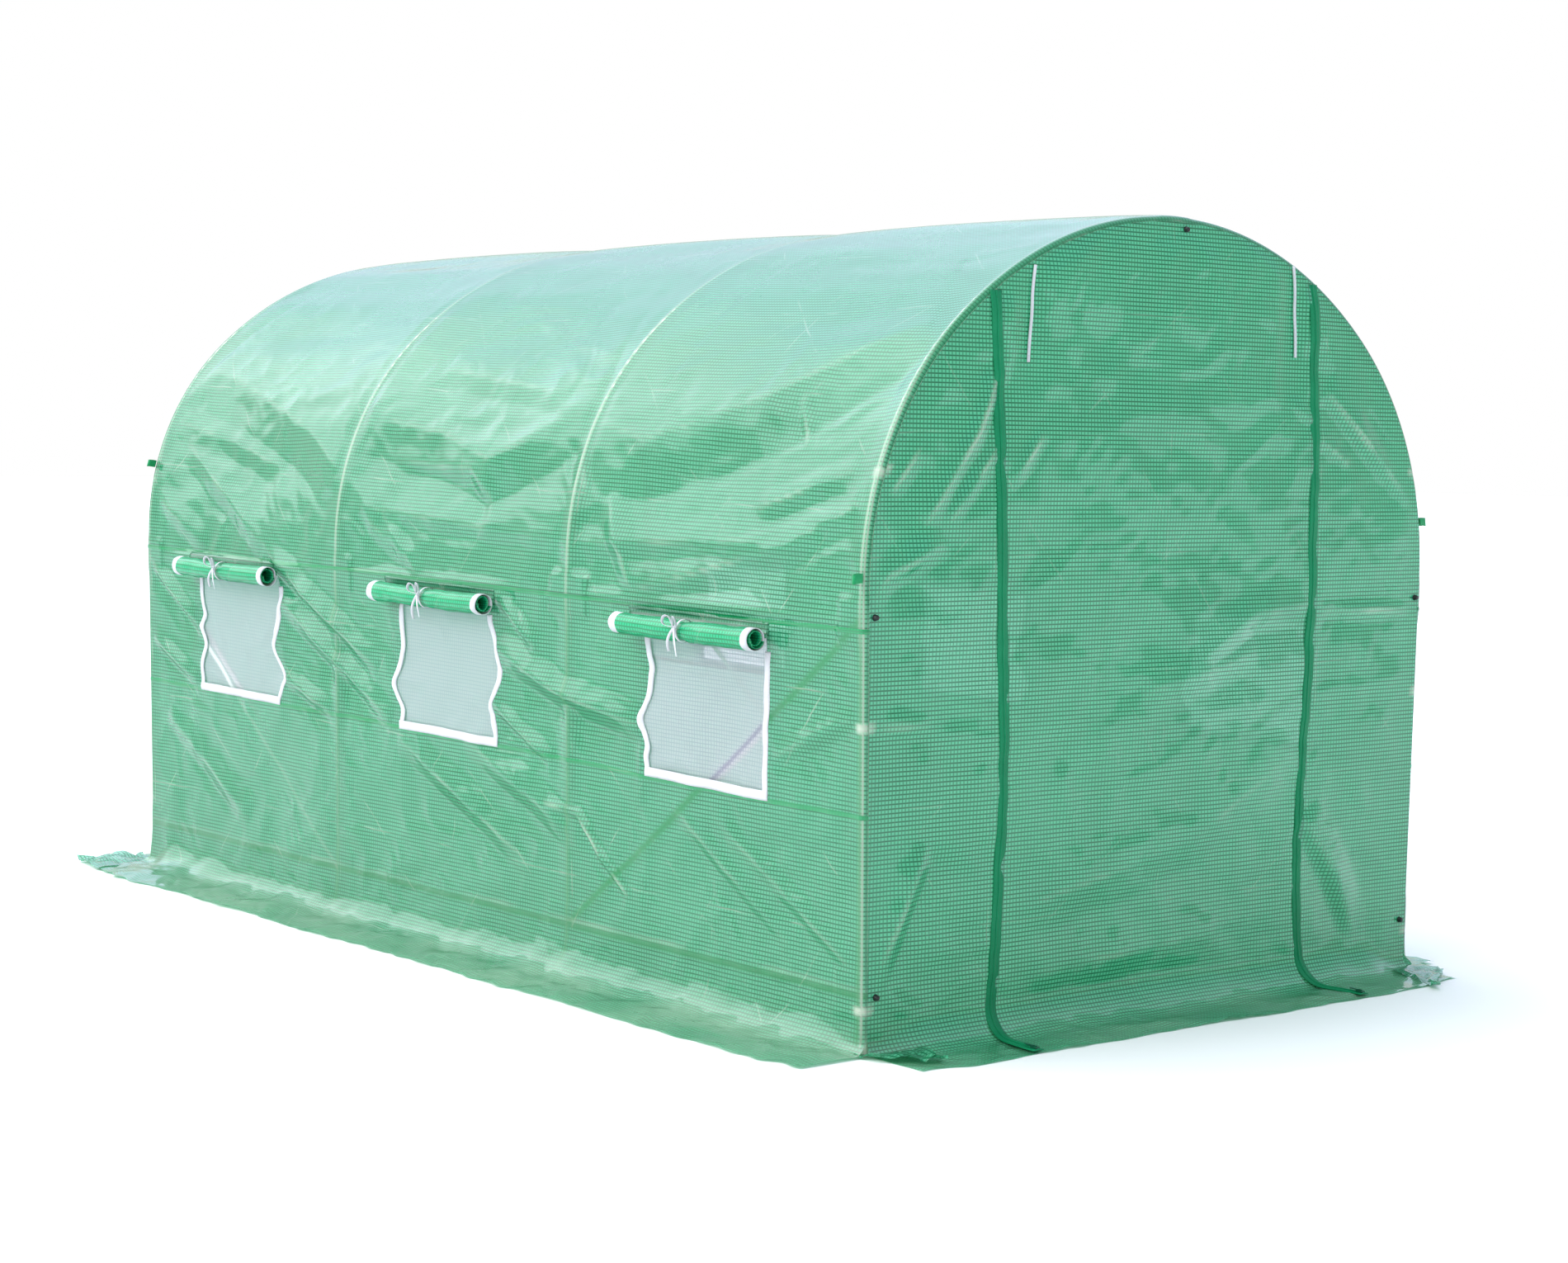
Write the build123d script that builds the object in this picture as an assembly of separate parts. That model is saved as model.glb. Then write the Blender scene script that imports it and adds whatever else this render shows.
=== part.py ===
"""Walk-in polytunnel greenhouse: a bolted tube frame under a sewn film cover.

Millimetres. X runs across the tunnel, Y along it with the zipped end at -Y, and Z is up.
The origin is on the ground under the middle. Each side piece is made on the +X side and mirrored.
"""

import os
from math import asin, atan2, cos, degrees, hypot, pi, radians, sin, sqrt, tan

from build123d import *

# Overall form of the cover, measured over its outer face
length = 3500.0
width = 2000.0
spring_height = 1082.0
shoulder_radius = 820.0
shoulder_turn = 47.5
leg_lean = 1.0
bays = 3

# Frame tubes, by outer diameter
hoop_tube = 25.0
purlin_tube = 19.0
brace_tube = 16.0

# Cross connectors that slide over the hoops and take the purlins
socket_wall = 1.8
sleeve_length = 96.0
stub_length = 58.0
tube_end_gap = 4.0

# Clearances: a sliding fit in a socket, pieces that rest on each other, and the overrun of cuts
fit_gap = 0.2
seat_gap = 0.3
overrun = 40.0

# Heights of the joints on each leg
eave_drop = 82.0
base_rail_height = 140.0

# Flattened brace ends
tab_thickness = 3.0
tab_width = 24.0
tab_length = 34.0
flatten_length = 40.0
bolt_hole = 6.5

# Film cover: thickness, the band that holds the windows and the skirt that lies on the ground
film = 2.0
band_height = 425.0
skirt_reach = 215.0
skirt_bend = 90.0
flap_reach = 190.0
flap_shares = ((0.42, 0.0), (1.0, 0.0), (0.78, 1.0), (0.42, 0.62))

# Zips of the front end
zip_offset = 560.0
zip_head = 68.0
zip_foot = 16.0
tape_width = 34.0
tape_thickness = 1.2
coil_width = 7.0
coil_height = 2.2
slider_length = 22.0
slider_width = 13.0
slider_height = 5.0
pull_length = 30.0
pull_width = 8.0
pull_thickness = 2.0

# Windows in each bay of both sides: net, binding round three edges and a rolled-up blind
window_width = 460.0
window_sill = 15.0
window_head = 38.0
net_film = 1.0
net_hem = 16.0
binding_width = 28.0
binding_lap = 8.0
binding_thickness = 1.5
blind_film = 2.0
blind_lap = 47.0
blind_shift = 35.0
roll_radius = 29.0
roll_pitch = 6.0
roll_half_turns = 5
roll_drop = 40.0

# Ties round the blinds
tie_width = 10.0
tie_thickness = 1.4
tie_start = 205.0
knot_radius = 5.0
knot_length = 16.0

# Webbing loops for guy ropes beside the end hoops, each by its rise over the springing
front_left_rise = 18.0
front_right_rise = 128.0
rear_left_rise = 208.0
rear_right_rise = 128.0
loop_reach = 26.0
loop_width = 22.0
loop_eye = 8.0
loop_webbing = 1.6
loop_inset = 4.0

# Ties that hang beside the top of the door, as points on the front from the middle and up from the ground
door_tie = 6.0
left_tie_route = ((-488.0, 1826.0), (-497.0, 1772.0), (-496.0, 1712.0), (-503.0, 1652.0), (-505.0, 1598.0))
right_tie_route = ((430.0, 1868.0), (439.0, 1812.0), (437.0, 1752.0), (445.0, 1692.0), (446.0, 1636.0))

# Distances of each layer from the hoop tubes' axis
hoop_radius = hoop_tube / 2
purlin_radius = purlin_tube / 2
brace_radius = brace_tube / 2
sleeve_radius = hoop_radius + fit_gap + socket_wall
stub_radius = purlin_radius + fit_gap + socket_wall
film_inside = sleeve_radius + seat_gap
film_outside = film_inside + film

# Centres and radii of the three-centred arch that the tube axes follow
lean = radians(leg_lean)
turn = radians(shoulder_turn)
shoulder_x = width / 2 - shoulder_radius
axis_shoulder = shoulder_radius - film_outside
axis_crown = axis_shoulder + shoulder_x / cos(turn)
crown_z = spring_height - shoulder_x * tan(turn)
eave_height = spring_height - eave_drop
seam_height = eave_height - band_height

# Places along the tunnel
end_inside = length / 2 - film
hoop_span = 2 * (end_inside - seat_gap - sleeve_radius)
bay = hoop_span / bays
hoop_ys = [bay * i - hoop_span / 2 for i in range(bays + 1)]
bay_ys = [(a + b) / 2 for a, b in zip(hoop_ys, hoop_ys[1:])]


def leg_x(offset, z):
    # A leg's straight line, moved outward by the offset, at height z
    tangent_x = shoulder_x + (axis_shoulder + offset) * cos(lean)
    tangent_z = spring_height - (axis_shoulder + offset) * sin(lean)
    return tangent_x - (tangent_z - z) * tan(lean)


def arch_z(offset, x):
    # Height of the arch over a place across the tunnel
    crown = axis_crown + offset
    if abs(x) <= crown * cos(turn):
        return crown_z + sqrt(crown**2 - x**2)
    return spring_height + sqrt((axis_shoulder + offset) ** 2 - (abs(x) - shoulder_x) ** 2)


def half_arch(offset, foot, end_turn):
    # The right half of the arch on the XZ plane, from a height on the leg to an angle near the crown
    shoulder = CenterArc((shoulder_x, spring_height), axis_shoulder + offset, -leg_lean, shoulder_turn + leg_lean)
    crown = CenterArc((0, crown_z), axis_crown + offset, shoulder_turn, end_turn - shoulder_turn)
    return [Line((leg_x(offset, foot), foot), shoulder @ 0), shoulder, crown]


def whole_arch(offset, foot):
    right = half_arch(offset, foot, 90)
    return right + [mirror(edge, about=Plane.YZ) for edge in right]


def block(x_range, y_range, z_range):
    sizes = [high - low for low, high in (x_range, y_range, z_range)]
    middle = [(high + low) / 2 for low, high in (x_range, y_range, z_range)]
    return Pos(*middle) * Box(*sizes)


def along(shape, ys):
    return [Pos(0, y, 0) * shape for y in ys]


def save(name, *shapes):
    export_step(Compound([solid for shape in shapes for solid in shape.solids()]), f"parts/{name}.step")


def save_sides(name, *shapes):
    save(f"right_{name}", *shapes)
    save(f"left_{name}", *[mirror(shape, about=Plane.YZ) for shape in shapes])


# The right wall's own frame: x along the tunnel, y inward from the tube axes and z up the leaning legs
right_wall = Plane(origin=(leg_x(0, 0), 0, 0), x_dir=(0, 1, 0), z_dir=(sin(lean), 0, cos(lean)))


def up_leg(z):
    return z / cos(lean)


# Hoops: two legs that stand on the ground and two bent tubes that meet at the ridge
def make_hoop():
    joint = tube_end_gap / 2
    tall = block((-width, width), (-hoop_tube, hoop_tube), (0, eave_height - joint))
    leg = right_wall * Pos(0, 0, eave_height / 2) * Cylinder(hoop_radius, eave_height + 2 * overrun)
    path = Plane.XZ * Wire(half_arch(0, eave_height + joint, 90 - degrees(joint / axis_crown)))
    bent = sweep(Plane(path @ 0, z_dir=path % 0) * Circle(hoop_radius), path)
    right = [leg & tall, bent]
    return Compound([s for part in right for s in part.solids() + mirror(part, about=Plane.YZ).solids()])


# Purlins: one straight tube in each bay, its ends inside the connectors' stubs
def make_purlin_run(place):
    tube_length = bay - 2 * (sleeve_radius + fit_gap)
    tube = Rot(90, 0, 0) * Cylinder(purlin_radius, tube_length)
    return [Pos(place[0], y, place[1]) * tube for y in bay_ys]


# Connectors: a sleeve round the hoop with a stub towards each purlin
def make_stubs(radius, start, reaches):
    stub = Rot(90, 0, 0) * Cylinder(radius, stub_length - start)
    return [Pos(0, reach * (start + stub_length) / 2, 0) * stub for reach in reaches]


def join_connector(sleeve, bore, reaches):
    outer = sleeve
    for stub in make_stubs(stub_radius, 0, reaches):
        outer = outer + stub
    for hollow in make_stubs(purlin_radius + fit_gap, sleeve_radius, reaches):
        outer = outer - hollow
    return outer - bore


def stub_reaches(index):
    # An end hoop has one stub, towards the middle of the tunnel
    if index == 0:
        return (1,)
    if index == bays:
        return (-1,)
    return (-1, 1)


def make_leg_connectors(z):
    tilt = Pos(leg_x(0, z), 0, z) * Rot(0, leg_lean, 0)
    sleeve = Cylinder(sleeve_radius, sleeve_length)
    bore = Cylinder(hoop_radius + fit_gap, sleeve_length + overrun)
    return [Pos(0, y, 0) * tilt * join_connector(sleeve, bore, stub_reaches(i)) for i, y in enumerate(hoop_ys)]


def ridge_bend(radius, reach):
    # A short bent bar over the crown, centred on the ridge
    half = degrees(reach / 2 / axis_crown)
    path = Plane.XZ * CenterArc((0, -axis_crown), axis_crown, 90 - half, 2 * half)
    return sweep(Plane(path @ 0, z_dir=path % 0) * Circle(radius), path)


def make_ridge_connectors():
    sleeve = ridge_bend(sleeve_radius, sleeve_length)
    bore = ridge_bend(hoop_radius + fit_gap, sleeve_length + overrun)
    ridge = crown_z + axis_crown
    return [Pos(0, y, ridge) * join_connector(sleeve, bore, stub_reaches(i)) for i, y in enumerate(hoop_ys)]


# Braces: a tube in each end bay from the end hoop's eave joint down to the next hoop's base joint
def make_brace_end(reach):
    # Round tube drawn flat into a bolted tab whose outer face is level with the tube's outer side
    start = Plane(origin=(reach - flatten_length - tab_length, brace_radius, 0), x_dir=(0, 0, 1), z_dir=(1, 0, 0))
    stop = Plane(origin=(reach - tab_length, tab_thickness / 2, 0), x_dir=(0, 0, 1), z_dir=(1, 0, 0))
    neck = loft([start * Circle(brace_radius), stop * Ellipse(tab_width / 2, tab_thickness / 2)])
    face = Plane(origin=(reach, 0, 0), x_dir=(1, 0, 0), z_dir=(0, 1, 0))
    outline = Circle(tab_width / 2) + Pos(-tab_length / 2, 0) * Rectangle(tab_length, tab_width)
    return neck + extrude(face * (outline - Circle(bolt_hole / 2)), tab_thickness)


def make_brace(end_y, inner_y):
    run, drop = inner_y - end_y, up_leg(base_rail_height) - up_leg(eave_height)
    span = hypot(run, drop)
    straight = span - 2 * (tab_length + flatten_length)
    tube = Pos(0, brace_radius, 0) * Rot(0, 90, 0) * Cylinder(brace_radius, straight)
    end = make_brace_end(span / 2)
    bar = tube + end + mirror(end, about=Plane.YZ)
    middle = Pos((end_y + inner_y) / 2, film_inside, up_leg((eave_height + base_rail_height) / 2))
    return right_wall * middle * Rot(0, -degrees(atan2(drop, run)), 0) * bar


# Cover: a roof sheet over the hoops from eave to eave
def make_roof():
    outer = whole_arch(film_outside, eave_height)
    inner = whole_arch(film_inside, eave_height)
    right = Line(outer[0] @ 0, inner[0] @ 0)
    section = make_face(outer + inner + [right, mirror(right, about=Plane.YZ)])
    return extrude(Plane.XZ * section, end_inside, both=True)


# Window bands between the two seams of each side, with a window cut in each bay
def window_box(margin, depth_range, y):
    low = up_leg(seam_height + window_sill) - margin
    high = up_leg(eave_height - window_head) + margin
    half = window_width / 2 + margin
    return right_wall * block((y - half, y + half), depth_range, (low, high))


def make_window_band():
    corners = [(leg_x(offset, z), z) for offset, z in (
        (film_inside, seam_height), (film_outside, seam_height),
        (film_outside, eave_height), (film_inside, eave_height))]
    band = extrude(Plane.XZ * make_face(Polyline(*corners, close=True)), end_inside, both=True)
    for y in bay_ys:
        band = band - window_box(0, (-film_outside - overrun, overrun - film_inside), y)
    return band


def make_nets():
    return [window_box(net_hem, (-film_inside, net_film - film_inside), y) for y in bay_ys]


def make_bindings():
    # A strip down both sides of the window and along its foot, up to the underside of the rolled blind
    depth = (-film_outside - binding_thickness, -film_outside)
    through = (-film_outside - overrun, overrun - film_outside)
    roll_foot = up_leg(eave_height) - roll_drop - roll_radius - seat_gap
    top = right_wall * block((-length, length), through, (roll_foot, up_leg(2 * eave_height)))
    return [window_box(binding_lap, depth, y)
            - window_box(binding_lap - binding_width, through, y) - top for y in bay_ys]


# Rolled blinds: film sewn along the eave seam, then wound up in half turns that shrink by half the pitch
roll_out = film_outside + seat_gap + roll_radius
roll_up = up_leg(eave_height) - roll_drop
blind_length = window_width + 2 * blind_lap


def roll_arc(index, depth):
    centre = (roll_out + (roll_pitch / 2 if index % 2 else 0), roll_up)
    return CenterArc(centre, roll_radius - index * roll_pitch / 2 - depth, 180 + 180 * index, 180)


def on_wall(section, span):
    # A section drawn as outward and up, run along the right wall about the middle of its span
    side = Plane(origin=(0, 0, 0), x_dir=(0, -1, 0), z_dir=(-1, 0, 0))
    return right_wall * extrude(side * section, span / 2, both=True)


def make_blind(y):
    faces = []
    for depth in (0, blind_film):
        arcs = [roll_arc(i, depth) for i in range(roll_half_turns)]
        hem = (arcs[0] @ 0).X
        faces.append([Line((hem, up_leg(eave_height)), arcs[0] @ 0)] + arcs)
    ends = [Line(faces[0][0] @ 0, faces[1][0] @ 0), Line(faces[0][-1] @ 1, faces[1][-1] @ 1)]
    return Pos(0, y + blind_shift, 0) * on_wall(make_face(faces[0] + faces[1] + ends), blind_length)


def make_blind_tie(y):
    # A tape from the blind's hem over the roll, down its front and under it, knotted in front
    hem = film_outside + seat_gap + blind_film + seat_gap
    faces = []
    for lift in (seat_gap, seat_gap + tie_thickness):
        under = CenterArc((roll_out, roll_up), roll_radius + lift, tie_start, 360 - tie_start)
        over = CenterArc((roll_out + roll_pitch / 2, roll_up), roll_radius - roll_pitch / 2 + lift, 0, 90)
        faces.append([under, over, Line(over @ 1, (hem, (over @ 1).Y))])
    ends = [Line(faces[0][0] @ 0, faces[1][0] @ 0), Line(faces[0][-1] @ 1, faces[1][-1] @ 1)]
    band = on_wall(make_face(faces[0] + faces[1] + ends), tie_width)
    front = roll_out + roll_radius + seat_gap + tie_thickness
    knot = on_wall(Pos(front + knot_radius / 2, roll_up) * Circle(knot_radius), knot_length)
    behind = front - tie_thickness - knot_radius
    cut = on_wall(Pos(behind, roll_up) * Rectangle(2 * knot_radius, 2 * knot_radius), knot_length)
    return Pos(0, y + blind_shift, 0) * (band + (knot - cut))


# Layers that follow a wall down and turn out over the ground
def bent_layer(wall, near, far, edge, top):
    rails = []
    for distance in (near, far):
        level = film + distance
        points = (edge, level), (wall(distance, level), level), (wall(distance, top), top)
        rails.append(FilletPolyline(*points, radius=skirt_bend - distance))
    ends = [Line(rails[0] @ 0, rails[1] @ 0), Line(rails[0] @ 1, rails[1] @ 1)]
    return make_face(rails[0].edges() + rails[1].edges() + ends)


def make_lower_wall():
    def face(distance, z):
        return leg_x(film_outside + distance, z)

    foot = face(0, 0)
    section = bent_layer(face, -film, 0, foot + skirt_reach, seam_height)
    wall = extrude(Plane.XZ * section, end_inside, both=True)
    outline = [(foot + skirt_reach * across, end_inside + flap_reach * out) for across, out in flap_shares]
    flap = extrude(make_face(Polyline(*outline, close=True)), film)
    return wall + flap + mirror(flap, about=Plane.XZ)


# End sheets, made at the rear: the arch's outline with a skirt at its foot
def end_face(distance, z):
    return length / 2 + distance


def make_end_sheet():
    top = arch_z(film_outside, 0)
    edge = length / 2 + skirt_reach
    sheet = extrude(Plane.YZ * bent_layer(end_face, -film, 0, edge, top + overrun), width, both=True)
    outline = whole_arch(film_outside, 0)
    base = Line(outline[0] @ 0, mirror(outline[0], about=Plane.YZ) @ 0)
    arch = extrude(Plane.XZ * make_face(outline + [base]), edge + overrun, both=True)
    return sheet & arch


def to_front(shape):
    return mirror(shape, about=Plane.XZ)


def front_strip(sheet, x_range):
    reach = length + skirt_reach
    return to_front(sheet) & block(x_range, (-reach, reach), (-overrun, 2 * arch_z(film_outside, 0)))


# Zips: a tape on the front sheet with its coil along the middle, and the slider at the foot
def make_zip():
    edge = length / 2 + skirt_reach - zip_foot
    top = arch_z(film_outside, zip_offset + tape_width / 2) - zip_head
    tape_top = seat_gap + tape_thickness
    tape = extrude(Plane.YZ * bent_layer(end_face, seat_gap, tape_top, edge, top), tape_width / 2, both=True)
    coil = extrude(Plane.YZ * bent_layer(end_face, tape_top, tape_top + coil_height, edge, top),
                   coil_width / 2, both=True)
    deck = film + tape_top + coil_height + seat_gap
    body = Pos(0, edge - slider_length / 2, deck + slider_height / 2) * Box(slider_width, slider_length, slider_height)
    body = fillet(body.edges().filter_by(Axis.Z), slider_width / 4)
    pull = SlotOverall(pull_length, pull_width) - Pos(pull_length / 2 - pull_width, 0) * Circle(pull_width / 4)
    tag = Pos(0, edge - slider_length, deck + slider_height) * Rot(0, 0, 90) * extrude(pull, pull_thickness)
    return [Pos(zip_offset, 0, 0) * to_front(piece) for piece in (tape + coil, body + tag)]


# Webbing loops, sewn beside the end hoops and standing out from the shoulders
def make_guy_loop(rise):
    # One loop on the right at the rear
    reach = axis_shoulder + film_outside
    angle = asin(rise / reach)
    place = (shoulder_x + (reach + seat_gap) * cos(angle), end_inside - loop_inset,
             spring_height + (reach + seat_gap) * sin(angle))
    out = Plane(origin=place, x_dir=(cos(angle), 0, sin(angle)), z_dir=(-sin(angle), 0, cos(angle)))
    eye = loop_eye / 2
    rails = []
    for radius in (eye, eye + loop_webbing):
        bend = CenterArc((loop_reach - eye - loop_webbing, -eye - loop_webbing), radius, -90, 180)
        rails.append([Line((0, (bend @ 0).Y), bend @ 0), bend, Line(bend @ 1, (0, (bend @ 1).Y))])
    ends = [Line(rails[0][0] @ 0, rails[1][0] @ 0), Line(rails[0][-1] @ 1, rails[1][-1] @ 1)]
    return extrude(out * make_face(rails[0] + rails[1] + ends), loop_width / 2, both=True)


def make_guy_loops():
    lefts = [mirror(make_guy_loop(rise), about=Plane.YZ) for rise in (front_left_rise, rear_left_rise)]
    rights = [make_guy_loop(rise) for rise in (front_right_rise, rear_right_rise)]
    return [to_front(lefts[0]), lefts[1], to_front(rights[0]), rights[1]]


# Door ties: soft cords that hang down the front sheet from the top seam
def make_door_tie(route, name):
    out = -length / 2 - seat_gap - door_tie / 2
    points = [Vector(x, out, z) for x, z in route]
    runs = [b - a for a, b in zip(points, points[1:])]
    turns = [radians(a.get_angle(b)) for a, b in zip(runs, runs[1:])]
    radii = [0.45 * min(a.length, b.length) / tan(bend / 2) for a, b, bend in zip(runs, runs[1:], turns)]
    path = FilletPolyline(*points, radius=radii)
    cord = sweep(Plane(path @ 0, z_dir=path % 0) * Circle(door_tie / 2), path)
    print(name, "radii", [round(r) for r in radii], "length", round(path.length, 1),
          "volume share", round(cord.volume / (pi * door_tie**2 / 4 * path.length), 4))
    return cord


os.makedirs("parts", exist_ok=True)

hoop = make_hoop()
for number, placed in enumerate(along(hoop, hoop_ys), 1):
    save(f"hoop_{number}", placed)
save("ridge_purlin", *make_purlin_run((0, crown_z + axis_crown)))
save("ridge_connectors", *make_ridge_connectors())
for level, z in (("eave", eave_height), ("base", base_rail_height)):
    save_sides(f"{level}_purlin", *make_purlin_run((leg_x(0, z), z)))
    save_sides(f"{level}_connectors", *make_leg_connectors(z))
save_sides("front_brace", make_brace(hoop_ys[0], hoop_ys[1]))
save_sides("rear_brace", make_brace(hoop_ys[-1], hoop_ys[-2]))

save("roof_sheet", make_roof())
save_sides("window_band", make_window_band())
save_sides("lower_wall", make_lower_wall())
end_sheet = make_end_sheet()
save("rear_sheet", end_sheet)
save("front_left_sheet", front_strip(end_sheet, (-width, -zip_offset)))
save("front_door", front_strip(end_sheet, (-zip_offset, zip_offset)))
save("front_right_sheet", front_strip(end_sheet, (zip_offset, width)))

save_sides("zip", *make_zip())
save_sides("window_nets", *make_nets())
save_sides("window_bindings", *make_bindings())
for number, y in enumerate(bay_ys, 1):
    save_sides(f"blind_{number}", make_blind(y))
save_sides("blind_ties", *[make_blind_tie(y) for y in bay_ys])
save("guy_loops", *make_guy_loops())
save("left_door_tie", make_door_tie(left_tie_route, "left_door_tie"))
save("right_door_tie", make_door_tie(right_tie_route, "right_door_tie"))
print("height", round(arch_z(film_outside, 0), 2))
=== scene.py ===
from math import cos, pi, radians, sin, tan

import bmesh
import bpy
import numpy as np
from mathutils import Matrix, Vector


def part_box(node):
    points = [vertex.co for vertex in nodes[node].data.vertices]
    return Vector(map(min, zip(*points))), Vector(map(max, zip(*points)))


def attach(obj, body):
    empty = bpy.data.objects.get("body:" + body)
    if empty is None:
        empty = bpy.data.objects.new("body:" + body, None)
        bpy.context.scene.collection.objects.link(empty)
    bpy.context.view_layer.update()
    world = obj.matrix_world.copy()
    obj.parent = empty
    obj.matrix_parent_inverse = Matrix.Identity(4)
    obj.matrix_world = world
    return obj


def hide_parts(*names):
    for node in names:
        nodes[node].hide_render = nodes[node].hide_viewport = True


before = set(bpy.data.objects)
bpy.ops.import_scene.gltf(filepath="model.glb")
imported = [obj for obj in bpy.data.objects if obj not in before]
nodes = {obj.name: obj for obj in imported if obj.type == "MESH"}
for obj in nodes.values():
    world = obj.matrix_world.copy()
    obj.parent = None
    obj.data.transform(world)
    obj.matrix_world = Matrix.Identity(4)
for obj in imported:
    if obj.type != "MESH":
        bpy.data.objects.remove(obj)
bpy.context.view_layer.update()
sides = {"left": -1, "right": 1}
print("frame loaded, nodes:", len(nodes))


# Camera at the photograph's place, in metres and radians
view = {
    "place": (-5.241, -6.613, 1.424),
    "yaw": 0.6893,       # turned from the tunnel's length towards its right
    "pitch": -0.0695,
    "roll": 0.0166,
    "lens": 65.72,       # on a 36 mm wide sensor
}


def setCamera():
    yaw, pitch, roll = view["yaw"], view["pitch"], view["roll"]
    ahead = Vector((sin(yaw) * cos(pitch), cos(yaw) * cos(pitch), sin(pitch)))
    right = Vector((cos(yaw), -sin(yaw), 0))
    up = right.cross(ahead)
    right, up = cos(roll) * right + sin(roll) * up, cos(roll) * up - sin(roll) * right
    camera = bpy.data.objects.new("camera", bpy.data.cameras.new("camera"))
    camera.data.lens = view["lens"]
    camera.data.sensor_width = 36
    camera.data.sensor_fit = "HORIZONTAL"
    turn = Matrix((right, up, -ahead)).transposed().to_4x4()
    camera.matrix_world = Matrix.Translation(view["place"]) @ turn
    bpy.context.collection.objects.link(camera)
    bpy.context.scene.camera = camera


setCamera()
print("camera set")


# The arch that the tubes and the film follow, in metres, with the rest read from the frame
tunnel = {
    "shoulderX": 0.180,       # middle of each shoulder bend, out from the centre line
    "springZ": 1.082,         # where the legs turn into the shoulders
    "tubeShoulder": 0.8032,   # shoulder bend at the middle of the tube
    "turn": radians(47.5),
    "lean": radians(1.0),
    "filmOut": 0.0156,        # film from the middle of the tube
    "tubeTouch": 0.0132,      # film where it lies on a bare tube
    "skirtBend": 0.090,
    "groundGap": 0.0015,
}
hoops = [f"hoop_{n}" for n in (1, 2, 3, 4)]
hoopYs = np.array([(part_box(name)[0][1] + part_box(name)[1][1]) / 2 for name in hoops])
bayLength = hoopYs[1] - hoopYs[0]
bayYs = (hoopYs[:-1] + hoopYs[1:]) / 2
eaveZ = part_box("left_window_band")[1][2]
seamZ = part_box("left_window_band")[0][2]
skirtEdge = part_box("right_lower_wall")[1][0]

shoulderRadius = tunnel["tubeShoulder"] + tunnel["filmOut"]
crownRadius = shoulderRadius + tunnel["shoulderX"] / cos(tunnel["turn"])
crownZ = tunnel["springZ"] - tunnel["shoulderX"] * tan(tunnel["turn"])
legRun = (tunnel["springZ"] - shoulderRadius * sin(tunnel["lean"])) / cos(tunnel["lean"])
shoulderRun = legRun + shoulderRadius * (tunnel["turn"] + tunnel["lean"])
ridgeRun = shoulderRun + crownRadius * (pi / 2 - tunnel["turn"])
eaveRun = eaveZ / cos(tunnel["lean"])
seamRun = seamZ / cos(tunnel["lean"])
endWrap = tunnel["filmOut"] * pi / 2      # film that turns round an end hoop


def archAt(run):
    # Right half of the cover by its run up from the ground: across, up, and the outward direction
    lean, turn = tunnel["lean"], tunnel["turn"]
    onShoulder = (run - legRun) / shoulderRadius - lean
    onCrown = turn + (run - shoulderRun) / crownRadius
    bend = np.where(run < legRun, -lean, np.where(run < shoulderRun, onShoulder, onCrown))
    outX, outZ = np.cos(bend), np.sin(bend)
    legX = tunnel["shoulderX"] + shoulderRadius * cos(lean) - (legRun - run) * sin(lean)
    x = np.where(run < shoulderRun, tunnel["shoulderX"] + shoulderRadius * outX, crownRadius * outX)
    z = np.where(run < shoulderRun, tunnel["springZ"] + shoulderRadius * outZ, crownZ + crownRadius * outZ)
    x, z = np.where(run < legRun, legX, x), np.where(run < legRun, run * cos(lean), z)
    return x, z, outX, outZ


def halfWidthAt(z):
    # Half the width of an end sheet at a height, out to the middle of the end hoop's tube
    shoulder = tunnel["tubeShoulder"]
    crown = crownRadius - tunnel["filmOut"]
    leg = tunnel["shoulderX"] + shoulder * cos(tunnel["lean"]) - (tunnel["springZ"] - z) * tan(tunnel["lean"])
    onShoulder = tunnel["shoulderX"] + np.sqrt(np.clip(shoulder**2 - (z - tunnel["springZ"]) ** 2, 0, None))
    onCrown = np.sqrt(np.clip(crown**2 - (z - crownZ) ** 2, 0, None))
    crownStart = crownZ + crown * sin(tunnel["turn"])
    return np.where(z < tunnel["springZ"], leg, np.where(z < crownStart, onShoulder, onCrown))


endTopZ = crownZ + crownRadius - tunnel["filmOut"]


def ease(low, high, value):
    share = np.clip((value - low) / (high - low), 0, 1)
    return share * share * (3 - 2 * share)


def falloff(distance, width, power=2):
    # 1 at no distance, down to nothing past the width, flatter on top with a higher power
    return np.exp(-((distance / width) ** power))


def softNoise(u, v, cell, seed):
    # Smooth hills of about one cell across, from -1 to 1
    grid = np.random.RandomState(seed).uniform(-1, 1, (64, 64))
    a, b = u / cell + 31.7, v / cell + 17.3
    i, j = np.floor(a).astype(int), np.floor(b).astype(int)
    p, q = a - i, b - j
    p, q = p * p * (3 - 2 * p), q * q * (3 - 2 * q)
    corner = [grid[(i + di) % 64, (j + dj) % 64] for di in (0, 1) for dj in (0, 1)]
    return (corner[0] * (1 - p) + corner[2] * p) * (1 - q) + (corner[1] * (1 - p) + corner[3] * p) * q


def lineNoise(along, cell, seed):
    return softNoise(along, along * 0, cell, seed)


def levelAt(run, levels):
    # A value by its run up the cover, between levels given as run and value pairs
    return np.interp(run, *np.array(levels).T)


def easyLine(points, at):
    # A rounded line through a few points, given as place and value pairs
    places, values = np.array(points, float).T
    order = np.argsort(places)
    fine = np.linspace(places.min(), places.max(), 240)
    line = np.interp(fine, places[order], values[order])
    soften = np.ones(17) / 17
    for turn in range(2):
        line = np.convolve(np.pad(line, 8, mode="edge"), soften, "valid")
    return np.interp(at, fine, line)


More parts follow.
